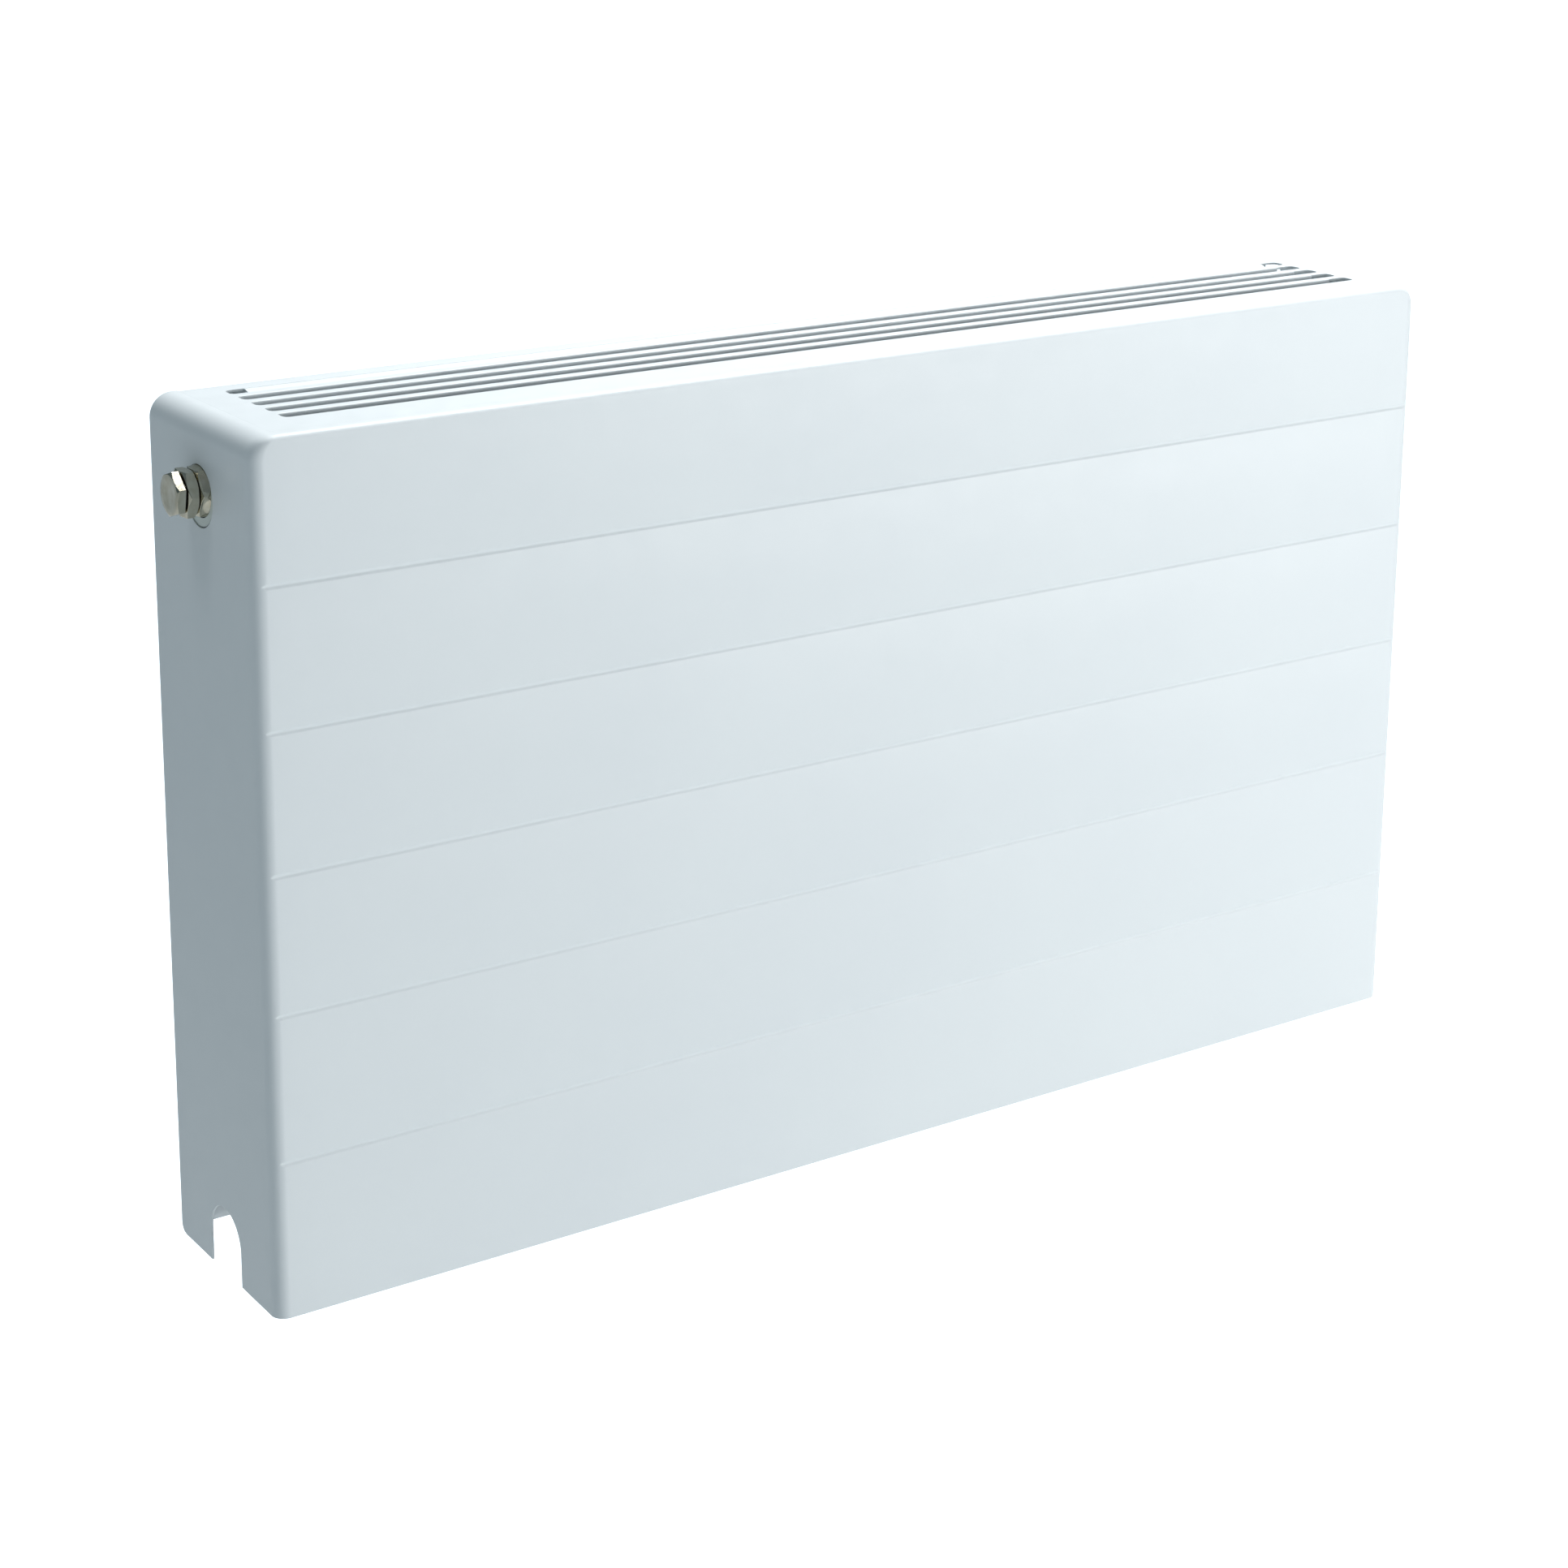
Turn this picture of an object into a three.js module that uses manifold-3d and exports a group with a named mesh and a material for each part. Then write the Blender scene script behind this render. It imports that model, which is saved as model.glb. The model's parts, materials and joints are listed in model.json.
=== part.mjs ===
// Fully clad steel panel radiator, type 33 (three water panels, three convectors), with a valve
// insert on its upper left side. Millimetres, +Z up, the front faces -Y and the wall is at +Y.
// The origin is the bottom centre of the whole object's box, valve included.
import * as THREE from 'three';
import { mergeVertices } from 'three/addons/utils/BufferGeometryUtils.js';
import Module from 'manifold-3d';

const wasm = await Module();
wasm.setup();

// ---------------------------------------------------------------- driving dimensions

// Casing
const caseWidth = 1000;
const caseDepth = 155;
const caseHeight = 600;
const sheet = 1.5;
const clearance = 0.3; // between pieces that touch or nest
const lap = 0.5; // how far joined shapes run into each other
const uprightRadius = 10; // front upright edges
const shoulderRadius = 16; // bends from the sides into the top
const browRadius = 4; // bend from the front into the top
const rearFootRadius = 7; // lower rear corner of a side cover
const frontReturn = 12; // how far the front cover wraps round
const shoulderReturn = 20; // how far a side cover reaches over the top

// Grooves across the front cover
const upperBandCount = 4;
const upperBandHeight = 96.5;
const lowestBandHeight = 111;
const grooveWidth = 5;
const grooveDepth = 0.9;
const ridgeRoot = 0.2; // how far a groove's ridge starts inside the sheet

// Top grille
const slotPitch = 20.2;
const slotWidth = 12.5;
const slotSetback = 43.8; // front face to the first slot
const slotRearMargin = 17; // least width of the strip behind the last slot
const slotCorner = 5;
const slotMarginLeft = 45;
const slotMarginRight = 26;
const louvreDrop = 6;
const louvreThickness = 1.2;
const louvreGapLeft = 2;
const louvreGapRight = 15;
const rearFlapFall = 3; // how far the flap of the rear slot leans down
const rearFlapGap = 1.5;
const grilleRearFold = 22; // the grille's rear edge, folded down

// Side cover openings
const portDrop = 3.5; // port centre below the valve axis
const portGap = 0.18; // the valve's collar to the port's upper edge
const notchWidth = 48;
const notchHeight = 48.5;
const notchSetback = 80; // front face to the notch's centre

// Water panels
const panelThickness = 11;
const panelSeam = 3; // thickness where the two pressed sheets meet
const panelFrontGap = 13; // front face of the case to the front panel
const panelWallGap = 10; // rear panel to the wall side of the case
const panelEndGap = 10;
const panelBottom = 11;
const panelTopGap = 25.5;
const headerHeight = 48;
const channelPitch = 40;
const channelCrest = 22;
const channelSlope = 6;

// Convectors
const convectorSheet = 0.8;
const convectorPitch = 36;
const convectorCrest = 10;
const convectorBottom = 70;
const convectorTopGap = 80; // convector top to case top
const convectorEndInset = 95;

// Corner hubs
const hubInset = 45; // case end to the hub's upright centre plane
const hubFromEdge = 24; // panel edge to the hub axis
const hubTubeRadius = 14;
const hubBoreRadius = 9;
const bossRadius = 17;
const bossInset = 30; // case end to the boss face
const threadRadius = 10;
const stubRadius = 5.5;
const stubBoreRadius = 3.5;
const reliefMargin = 3; // room round a hub in the middle panel

// Bottom connection and riser
const connectionInset = 82;
const connectionSpacing = 50;
const connectionSetback = 45; // front face to the connection axes
const socketRadius = 13;
const socketBoreRadius = 9.5;
const socketBoreDepth = 18;
const socketBottom = 5;
const flowSocketTop = 42;
const returnSocketTop = 34;
const riserRadius = 7.5;
const riserWall = 1.5;
const riserSeatRadius = 9;
const riserSeatReach = 18;

// Valve, as distances outwards from the left face of the case
const valveReach = 20.7;
const capHexFlats = 27;
const capHexTurn = 11; // degrees
const capHead = 5.8;
const nutHexFlats = 30;
const nutOuterFace = 13.6;
const nutInnerFace = 5.9;
const collarOuterFace = 5.2;
const collarInnerFace = -1.3;
const flangeRadius = 16.5;
const flangeInnerFace = -3;
const rosetteThickness = 2.4;
const rosetteGap = 1; // rosette rim to the port edge
const rosetteRimFace = -0.6;
const rosetteRimGap = 0.4; // the insert's collar to the rosette's raised rim
const barrelRadius = 15;
const barrelWall = 2.2;
const barrelShank = 10; // how far it screws into the hub
const insertNeckRadius = 9.6;
const insertShankEnd = -17;
const insertFloor = 4; // metal left under the spring chamber
const capSocketFloor = 6.9;
const capSpigotRadius = 6.2;
const capSpigotLength = 6;
const capBoreMargin = 1.6; // round the pin
const capBoreDepth = 2; // into the cap's head
const capWasherThickness = 0.7;
const capWasherRim = 2; // how far it reaches past the neck
const springRadius = 3.9;
const springWire = 1;
const springTurns = 5;
const springRoom = 5.6; // radius of the spring chamber
const pinRadius = 2;
const pinTip = 11;
const pinCollarLow = 3;
const pinCollarHigh = 4.5;
const pinFootRadius = 4;
const pinFootLength = 2;
const glandGap = 0.5;
const glandSealThickness = 1.3;
const glandBushThickness = 1.8;
const discRadius = 7;
const discThickness = 3;

// Air vent, plugs and seals
const plugHexFlats = 24;
const plugHead = 6;
const plugShank = 12;
const sealThickness = 1.6;
const ventHexFlats = 27;
const ventBoreRadius = 5.2;
const ventScrewRadius = 3;
const ventSquare = 5;
const ventSeatFloor = 6; // shank end to the seat's floor
const ventConeLength = 2.5;
const ventThreadLength = 6;
const ventSealThickness = 1.5;
const outletRadius = 9;
const outletThickness = 6.5;
const ventHeadLength = 4;
const ventHeadStandOff = 2; // outlet ring to the screw's square head
const spoutRadius = 2.3;
const spoutWall = 1;
const spoutReach = 4;
const hexFaceShare = 0.49; // radius of a hexagon's turned face, as a share of its flats
const hexTurnedFall = 0.6; // fall of a turned corner for each millimetre of its width

// Brackets, clips, lugs and spacers
const stripThickness = 1.5;
const lugThickness = 2.5;
const lugWidth = 40;
const lugHeight = 90;
const lugFoot = 14;
const lugSlope = 8;
const lugInset = 170; // case end to a lug's centre
const lugLowerCentre = 110;
const lugUpperDrop = 74.5; // panel top to the upper lug's centre
const spacerWidth = 30;
const spacerHeight = 26;
const spacerCentre = 36;
const spacerRadius = 3;
const bracketInset = 200;
const bracketWidth = 30;
const bracketHeight = 44;
const bracketFoot = 10;
const bracketLowerCentre = 160;
const bracketUpperDrop = 119.5; // panel top to the upper bracket's centre
const clipHeight = 36;
const grilleClipInset = 200;
const grilleClipLength = 40;

// ---------------------------------------------------------------- worked-out places

const left = -caseWidth / 2;
const right = caseWidth / 2;
const front = -caseDepth / 2;
const rear = caseDepth / 2;
const panelTop = caseHeight - panelTopGap;
const frontPanelFace = front + panelFrontGap;
const rearPanelFace = rear - panelWallGap - panelThickness;
const middlePanelFace = (frontPanelFace + rearPanelFace) / 2;
const hubAxisY = middlePanelFace + panelThickness / 2;
const upperHubZ = panelTop - hubFromEdge;
const lowerHubZ = panelBottom + hubFromEdge;
const portZ = upperHubZ - portDrop;
const connectionY = front + connectionSetback;
const riserX = left + connectionInset;
const slotRun = caseDepth - slotSetback - slotRearMargin - slotWidth;
const slotCount = Math.floor(slotRun / slotPitch) + 1;
const reliefWidth = hubInset + hubTubeRadius + reliefMargin;
const reliefHeight = hubFromEdge + bossRadius + reliefMargin;
const rosetteOuterFace = flangeInnerFace - clearance;
const rosetteInnerFace = rosetteOuterFace - rosetteThickness;
const shankRadius = threadRadius - clearance;
const collarCornerRadius = nutHexFlats / Math.sqrt(3);
const portRadius = collarCornerRadius + portDrop + portGap;
const chamberFloor = insertShankEnd + insertFloor;

// ---------------------------------------------------------------- materials

function finish(color, roughness, metalness) {
  return new THREE.MeshStandardMaterial({ color, roughness, metalness });
}

const whitePowder = finish(0xe6ecee, 0.42, 0);
const coreWhite = finish(0xdde3e5, 0.5, 0);
const nickel = finish(0xb9b7a8, 0.18, 1);
const brass = finish(0xb08a3e, 0.25, 1);
const steel = finish(0x9a9ea2, 0.35, 1);
const rubber = finish(0x1e1f20, 0.8, 0);
const whitePlastic = finish(0xd9dfd9, 0.45, 0);

// ---------------------------------------------------------------- shape helpers

// Every cutting shape below runs a millimetre or more past the faces that it cuts.

// A closed three.js geometry as a solid.
function solid(geometry) {
  const bare = geometry.index ? geometry.toNonIndexed() : geometry.clone();
  bare.deleteAttribute('normal');
  bare.deleteAttribute('uv');
  const merged = mergeVertices(bare, 1e-4);
  const vertProperties = new Float32Array(merged.attributes.position.array);
  const corners = merged.index.array;
  const kept = [];
  for (let i = 0; i < corners.length; i += 3) {
    const [a, b, c] = corners.slice(i, i + 3);
    if (a !== b && b !== c && c !== a) kept.push(a, b, c); // a pole closes on one point
  }
  const triVerts = new Uint32Array(kept);
  return new wasm.Manifold(new wasm.Mesh({ numProp: 3, vertProperties, triVerts }));
}

// A solid as a three.js mesh.
function piece(name, shape, material) {
  const data = shape.getMesh();
  const geometry = new THREE.BufferGeometry();
  geometry.setAttribute('position', new THREE.BufferAttribute(new Float32Array(data.vertProperties), 3));
  geometry.setIndex(new THREE.BufferAttribute(new Uint32Array(data.triVerts), 1));
  geometry.computeVertexNormals();
  const mesh = new THREE.Mesh(geometry, material);
  mesh.name = name;
  return mesh;
}

const union = (shapes) => shapes.reduce((total, shape) => total.add(shape));

function block(x0, x1, y0, y1, z0, z1) {
  const geometry = new THREE.BoxGeometry(x1 - x0, y1 - y0, z1 - z0);
  geometry.translate((x0 + x1) / 2, (y0 + y1) / 2, (z0 + z1) / 2);
  return solid(geometry);
}

// An outline drawn in (u, v), swept along the third axis from `from` to `to`.
// Along z the outline is (x, y); along y it is (x, z); along x it is (y, z).
function prism(shape, axis, from, to, curveSegments = 3) {
  const depth = to - from;
  const geometry = new THREE.ExtrudeGeometry(shape, { depth, bevelEnabled: false, curveSegments });
  if (axis === 'z') geometry.translate(0, 0, from);
  if (axis === 'y') {
    geometry.rotateX(Math.PI / 2);
    geometry.translate(0, to, 0);
  }
  if (axis === 'x') {
    geometry.rotateX(Math.PI / 2);
    geometry.rotateZ(Math.PI / 2);
    geometry.translate(from, 0, 0);
  }
  return solid(geometry);
}

const outline = (points) => new THREE.Shape(points.map(([u, v]) => new THREE.Vector2(u, v)));

// A rectangle whose corners may each have a radius, in the order
// lower left, lower right, upper right, upper left.
function roundedBox(u0, v0, u1, v1, radii) {
  const corners = [[u0, v0], [u1, v0], [u1, v1], [u0, v1]];
  const shape = new THREE.Shape();
  corners.forEach(([u, v], i) => {
    const [pu, pv] = corners[(i + 3) % 4];
    const [nu, nv] = corners[(i + 1) % 4];
    const radius = radii[i];
    const start = [u + Math.sign(pu - u) * radius, v + Math.sign(pv - v) * radius];
    if (i === 0) shape.moveTo(...start);
    else shape.lineTo(...start);
    if (radius === 0) return;
    const centre = [start[0] + Math.sign(nu - u) * radius, start[1] + Math.sign(nv - v) * radius];
    const begin = Math.atan2(start[1] - centre[1], start[0] - centre[0]);
    shape.absarc(centre[0], centre[1], radius, begin, begin + Math.PI / 2, false);
  });
  return shape;
}

// A round bar along the x, y or z axis.
function bar(axis, radius, from, to, [a, b], segments = 20) {
  const geometry = new THREE.CylinderGeometry(radius, radius, to - from, segments);
  const middle = (from + to) / 2;
  if (axis === 'x') {
    geometry.rotateZ(Math.PI / 2);
    geometry.translate(middle, a, b);
  }
  if (axis === 'y') geometry.translate(a, middle, b);
  if (axis === 'z') {
    geometry.rotateX(Math.PI / 2);
    geometry.translate(a, b, middle);
  }
  return solid(geometry);
}

// A turned part about the local Y axis, from [radius, y] corners that start and end on the axis
// or close on themselves.
function turned(profile, segments = 20) {
  const area = profile.reduce((sum, [r, y], i) => {
    const [nextR, nextY] = profile[(i + 1) % profile.length];
    return sum + r * nextY - nextR * y;
  }, 0);
  const ordered = area > 0 ? profile : [...profile].reverse();
  const points = ordered.map(([r, y]) => new THREE.Vector2(r, y));
  if (ordered[0][0] > 0) points.push(points[0].clone());
  return solid(new THREE.LatheGeometry(points, segments));
}

function ring(inner, outer, y0, y1, segments = 20) {
  return turned([[inner, y0], [outer, y0], [outer, y1], [inner, y1]], segments);
}

function disc(radius, y0, y1, segments = 20) {
  return turned([[0, y0], [radius, y0], [radius, y1], [0, y1]], segments);
}

// A hexagon across the local Y axis, its corners turned off on one or both faces.
function hexagon(flats, y0, y1, turnDegrees, { outer = true, inner = false } = {}) {
  const cornerRadius = flats / Math.sqrt(3);
  const geometry = new THREE.CylinderGeometry(cornerRadius, cornerRadius, y1 - y0, 6);
  geometry.rotateY(THREE.MathUtils.degToRad(turnDegrees));
  geometry.translate(0, (y0 + y1) / 2, 0);
  const faceRadius = flats * hexFaceShare;
  const fall = (cornerRadius - faceRadius) * hexTurnedFall;
  const low = inner ? [[faceRadius, y0], [cornerRadius + 1, y0 + fall]] : [[cornerRadius + 1, y0]];
  const high = outer ? [[cornerRadius + 1, y1 - fall], [faceRadius, y1]] : [[cornerRadius + 1, y1]];
  return solid(geometry).intersect(turned([[0, y0], ...low, ...high, [0, y1]], 24));
}

// The corners of a bent strip: a line of points given a thickness on its left side.
function strip(points, thickness) {
  const direction = (a, b) => new THREE.Vector2(b[0] - a[0], b[1] - a[1]).normalize();
  const inner = points.map((point, i) => {
    const before = direction(points[Math.max(i - 1, 0)], points[Math.max(i, 1)]);
    const last = points.length - 1;
    const after = direction(points[Math.min(i, last - 1)], points[Math.min(i + 1, last)]);
    const normal = new THREE.Vector2(-before.y - after.y, before.x + after.x).normalize();
    const reach = thickness / normal.dot(new THREE.Vector2(-before.y, before.x));
    return [point[0] + normal.x * reach, point[1] + normal.y * reach];
  });
  return [...points, ...inner.reverse()];
}

// The corners of a hat-shaped strip, as [along, rise]: two feet at rise 0 and a raised bridge.
function hat(length, foot, slope, rise, thickness) {
  const half = length / 2;
  const crest = rise - thickness;
  const line = [[-half, 0], [-half + foot, 0], [-half + foot + slope, crest]];
  line.push([half - foot - slope, crest], [half - foot, 0], [half, 0]);
  return strip(line, thickness);
}

// ---------------------------------------------------------------- casing

// The casing's outside, or any skin `inset` inside it, run on past the open back and bottom by
// `overrun`.
function caseBlock(inset, overrun) {
  const x0 = left + inset;
  const x1 = right - inset;
  const y0 = front + inset;
  const y1 = rear + overrun;
  const z0 = -overrun;
  const z1 = caseHeight - inset;
  const upright = uprightRadius - inset;
  const shoulder = shoulderRadius - inset;
  const brow = browRadius - inset;
  const plan = prism(roundedBox(x0, y0, x1, y1, [upright, upright, 0, 0]), 'z', z0, z1);
  const face = prism(roundedBox(x0, z0, x1, z1, [0, 0, shoulder, shoulder]), 'y', y0, y1, 4);
  const flank = prism(roundedBox(y0, z0, y1, z1, [0, 0, 0, brow]), 'x', x0, x1, 2);
  return plan.intersect(face).intersect(flank);
}

const caseShell = caseBlock(0, 0).subtract(caseBlock(sheet, 5));

function grooveHeights() {
  const heights = [lowestBandHeight];
  for (let i = upperBandCount; i > 0; i -= 1) heights.push(caseHeight - i * upperBandHeight);
  return heights;
}

function frontCover() {
  const room = block(left - 1, right + 1, front - 1, front + frontReturn, -1, caseHeight + 1);
  let cover = caseShell.intersect(room);
  for (const z of grooveHeights()) {
    const half = grooveWidth / 2;
    const mouth = (half * (grooveDepth + 1)) / grooveDepth;
    const cut = outline([[front - 1, z - mouth], [front + grooveDepth, z], [front - 1, z + mouth]]);
    const back = front + sheet;
    const root = back - ridgeRoot;
    const ridge = outline([[root, z - half], [root, z + half], [back + grooveDepth, z]]);
    cover = cover.subtract(prism(cut, 'x', left - 1, right + 1));
    cover = cover.add(prism(ridge, 'x', left + uprightRadius, right - uprightRadius));
  }
  return piece('front_cover', cover, whitePowder);
}

// side is -1 for the left cover and 1 for the right one.
function sideCover(name, side) {
  const x0 = side < 0 ? left : right - shoulderReturn;
  const x1 = x0 + shoulderReturn;
  const y0 = front + frontReturn + clearance;
  const flank = roundedBox(y0, 0, rear, caseHeight, [0, rearFootRadius, 0, 0]);
  const port = bar('x', portRadius, x0 - 1, x1 + 1, [hubAxisY, portZ], 28);
  const notchY = front + notchSetback;
  const half = notchWidth / 2;
  const arch = new THREE.Shape();
  arch.moveTo(notchY - half, -1);
  arch.lineTo(notchY + half, -1);
  arch.lineTo(notchY + half, notchHeight - half);
  arch.absarc(notchY, notchHeight - half, half, 0, Math.PI, false);
  const notch = prism(arch, 'x', x0 - 1, x1 + 1, 6);
  const cover = caseShell.intersect(prism(flank, 'x', x0, x1)).subtract(port).subtract(notch);
  return piece(name, cover, whitePowder);
}

function topGrille() {
  const x0 = left + shoulderReturn + clearance;
  const x1 = right - shoulderReturn - clearance;
  const y0 = front + frontReturn + clearance;
  const slotLeft = left + slotMarginLeft;
  const slotRight = right - slotMarginRight;
  let grille = caseShell.intersect(block(x0, x1, y0, rear + 1, caseHeight - sheet * 2, caseHeight + 1));
  for (let i = 0; i < slotCount; i += 1) {
    const slotFront = front + slotSetback + i * slotPitch;
    const slotRear = slotFront + slotWidth;
    const slot = roundedBox(slotLeft, slotFront, slotRight, slotRear, Array(4).fill(slotCorner));
    grille = grille.subtract(prism(slot, 'z', caseHeight - sheet * 2, caseHeight + 1, 2));
    const under = caseHeight - sheet / 2;
    const isRearSlot = i === slotCount - 1;
    if (isRearSlot) {
      const tip = slotFront + rearFlapGap;
      const flap = outline([[slotRear + 1, under], [slotRear + 1, under - louvreThickness],
        [tip, under - louvreThickness - rearFlapFall], [tip, under - rearFlapFall]]);
      grille = grille.add(prism(flap, 'x', slotLeft + louvreGapRight, slotRight - louvreGapRight));
    } else {
      const flange = block(slotLeft + louvreGapLeft, slotRight - louvreGapRight, slotRear,
        slotRear + louvreThickness, caseHeight - louvreDrop, under);
      grille = grille.add(flange);
    }
  }
  const fold = block(x0, x1, rear - sheet, rear, caseHeight - grilleRearFold, caseHeight - sheet / 2);
  return piece('top_grille', grille.add(fold), whitePowder);
}

// ---------------------------------------------------------------- heating core

// Plan section of a water panel: seams and channels in turn, from x0 to x1.
function panelSection(x0, x1, y0) {
  const middle = y0 + panelThickness / 2;
  const count = Math.floor((x1 - x0 - channelPitch / 2) / channelPitch);
  const margin = (x1 - x0 - count * channelPitch) / 2;
  const wave = [];
  for (let i = 0; i < count; i += 1) {
    const centre = x0 + margin + (i + 0.5) * channelPitch;
    wave.push([centre - channelCrest / 2 - channelSlope, panelSeam / 2]);
    wave.push([centre - channelCrest / 2, panelThickness / 2]);
    wave.push([centre + channelCrest / 2, panelThickness / 2]);
    wave.push([centre + channelCrest / 2 + channelSlope, panelSeam / 2]);
  }
  const half = [[x0, panelSeam / 2], ...wave, [x1, panelSeam / 2]];
  const frontLine = half.map(([x, offset]) => [x, middle - offset]);
  const rearLine = half.map(([x, offset]) => [x, middle + offset]).reverse();
  return outline([...frontLine, ...rearLine]);
}

function waterPanel(name, y0, relieved) {
  const x0 = left + panelEndGap;
  const x1 = right - panelEndGap;
  const y1 = y0 + panelThickness;
  let panel = union([
    prism(panelSection(x0, x1, y0), 'z', panelBottom, panelTop),
    block(x0, x1, y0, y1, panelBottom, panelBottom + headerHeight),
    block(x0, x1, y0, y1, panelTop - headerHeight, panelTop),
  ]);
  if (relieved) {
    const lowEnd = panelBottom + reliefHeight;
    const highEnd = panelTop - reliefHeight;
    for (const [low, high] of [[0, lowEnd], [highEnd, caseHeight]]) {
      panel = panel.subtract(block(left, left + reliefWidth, y0 - 1, y1 + 1, low, high));
      panel = panel.subtract(block(right - reliefWidth, right, y0 - 1, y1 + 1, low, high));
    }
  }
  return piece(name, panel, coreWhite);
}

function convector(name, y0, y1) {
  const x0 = left + convectorEndInset;
  const x1 = right - convectorEndInset;
  const run = (convectorPitch - 2 * convectorCrest) / 2;
  const count = Math.floor((x1 - x0) / convectorPitch);
  const margin = (x1 - x0 - count * convectorPitch) / 2;
  const low = y0 + clearance;
  const high = y1 - clearance - convectorSheet;
  const line = [];
  for (let i = 0; i < count; i += 1) {
    const x = x0 + margin + i * convectorPitch;
    line.push([x, low], [x + convectorCrest, low]);
    line.push([x + convectorCrest + run, high], [x + 2 * convectorCrest + run, high]);
  }
  const section = outline(strip(line, convectorSheet));
  const folded = prism(section, 'z', convectorBottom, caseHeight - convectorTopGap);
  return piece(name, folded, coreWhite);
}

// A hub joins the panels through a cross tube, takes a plug or valve in its threaded boss, and
// feeds the middle panel through a stub. The valve hub also has a seat for the riser.
function hub(name, side, z, takesRiser) {
  const x = side * (caseWidth / 2 - hubInset);
  const y0 = frontPanelFace + panelThickness + clearance;
  const y1 = rearPanelFace - clearance;
  const axis = [hubAxisY, z];
  const span = (a, b) => [Math.min(a, b), Math.max(a, b)];
  const bossEnd = side * (caseWidth / 2 - bossInset);
  const stubEnd = side * (caseWidth / 2 - reliefWidth + clearance);
  const parts = [
    bar('y', hubTubeRadius, y0, y1, [x, z], 18),
    bar('x', bossRadius, ...span(x, bossEnd), axis, 18),
    bar('x', stubRadius, ...span(x, stubEnd), axis, 12),
  ];
  const bores = [
    bar('y', hubBoreRadius, y0 - 1, y1 + 1, [x, z], 12),
    bar('x', threadRadius, ...span(x, bossEnd + side), axis, 18),
    bar('x', stubBoreRadius, ...span(x, stubEnd - side), axis, 12),
  ];
  if (takesRiser) {
    const seatEnd = x - side * riserSeatReach;
    parts.push(bar('x', riserSeatRadius, ...span(x, seatEnd), [connectionY, z], 16));
    bores.push(bar('x', riserRadius - riserWall, ...span(x, seatEnd - side), [connectionY, z], 12));
  }
  return piece(name, union(parts).subtract(union(bores)), coreWhite);
}

function flowSocket() {
  const axis = [riserX, connectionY];
  const body = bar('z', socketRadius, socketBottom, flowSocketTop, axis)
    .subtract(bar('z', socketBoreRadius, socketBottom - 1, socketBottom + socketBoreDepth, axis))
    .subtract(bar('z', riserRadius - riserWall, socketBottom, flowSocketTop + 1, axis, 12));
  return piece('flow_socket', body, coreWhite);
}

// The return socket reaches forward to the front panel's lower header.
function returnSocket() {
  const x = riserX + connectionSpacing;
  const y0 = frontPanelFace + panelThickness + clearance;
  const stubZ = socketBottom + socketBoreDepth;
  const body = bar('z', socketRadius, socketBottom, returnSocketTop, [x, connectionY])
    .add(bar('y', stubRadius, y0, connectionY, [x, stubZ], 12))
    .subtract(bar('z', socketBoreRadius, socketBottom - 1, socketBottom + socketBoreDepth, [x, connectionY]))
    .subtract(bar('y', stubBoreRadius, y0 - 1, connectionY, [x, stubZ], 12));
  return piece('return_socket', body, coreWhite);
}

// The riser rises from the flow socket and bends towards the valve hub's seat.
function riserPipe() {
  const bore = riserRadius - riserWall;
  const bottom = flowSocketTop + clearance;
  const seatFace = left + hubInset + riserSeatReach + clearance;
  const bend = riserX - seatFace;
  const section = new THREE.Shape();
  section.absarc(0, 0, riserRadius, 0, Math.PI * 2, false);
  const hollow = new THREE.Path();
  hollow.absarc(0, 0, bore, 0, Math.PI * 2, true);
  section.holes.push(hollow);
  const extrudePath = new THREE.QuadraticBezierCurve3(
    new THREE.Vector3(riserX, connectionY, upperHubZ - bend),
    new THREE.Vector3(riserX, connectionY, upperHubZ),
    new THREE.Vector3(seatFace, connectionY, upperHubZ),
  );
  const sweep = { extrudePath, steps: 7, bevelEnabled: false, curveSegments: 6 };
  const elbow = new THREE.ExtrudeGeometry(section, sweep);
  const upright = bar('z', riserRadius, bottom, upperHubZ - bend + lap, [riserX, connectionY], 12)
    .subtract(bar('z', bore, bottom - 1, upperHubZ - bend + lap + 1, [riserX, connectionY], 12));
  return piece('riser_pipe', solid(elbow).add(upright), coreWhite);
}

// ---------------------------------------------------------------- valve and vent

// Local +Y runs outwards from the case end, so 0 is the side cover's outer face.
function endGroup(side, z) {
  const group = new THREE.Group();
  group.position.set(side * (caseWidth / 2), hubAxisY, z);
  group.rotation.z = -side * (Math.PI / 2);
  return group;
}

function valveInsert() {
  const metal = union([
    disc(shankRadius, insertShankEnd, flangeInnerFace + lap),
    disc(flangeRadius, flangeInnerFace, collarInnerFace, 32),
    hexagon(nutHexFlats, collarInnerFace, collarOuterFace, 30),
    disc(insertNeckRadius, collarInnerFace - lap, nutOuterFace - capWasherThickness),
  ]);
  return metal
    .subtract(disc(springRoom, chamberFloor, valveReach))
    .subtract(disc(pinRadius + clearance, insertShankEnd - 1, chamberFloor + 1, 12))
    .subtract(disc(capSpigotRadius + clearance, capSocketFloor, valveReach));
}

function valveCap() {
  const headInner = valveReach - capHead;
  const head = hexagon(capHexFlats, headInner, valveReach, capHexTurn);
  const spigotEnd = headInner - capSpigotLength;
  return head
    .add(disc(capSpigotRadius, spigotEnd, headInner + lap))
    .subtract(disc(pinRadius + capBoreMargin, spigotEnd - 1, headInner + capBoreDepth, 12));
}

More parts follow.
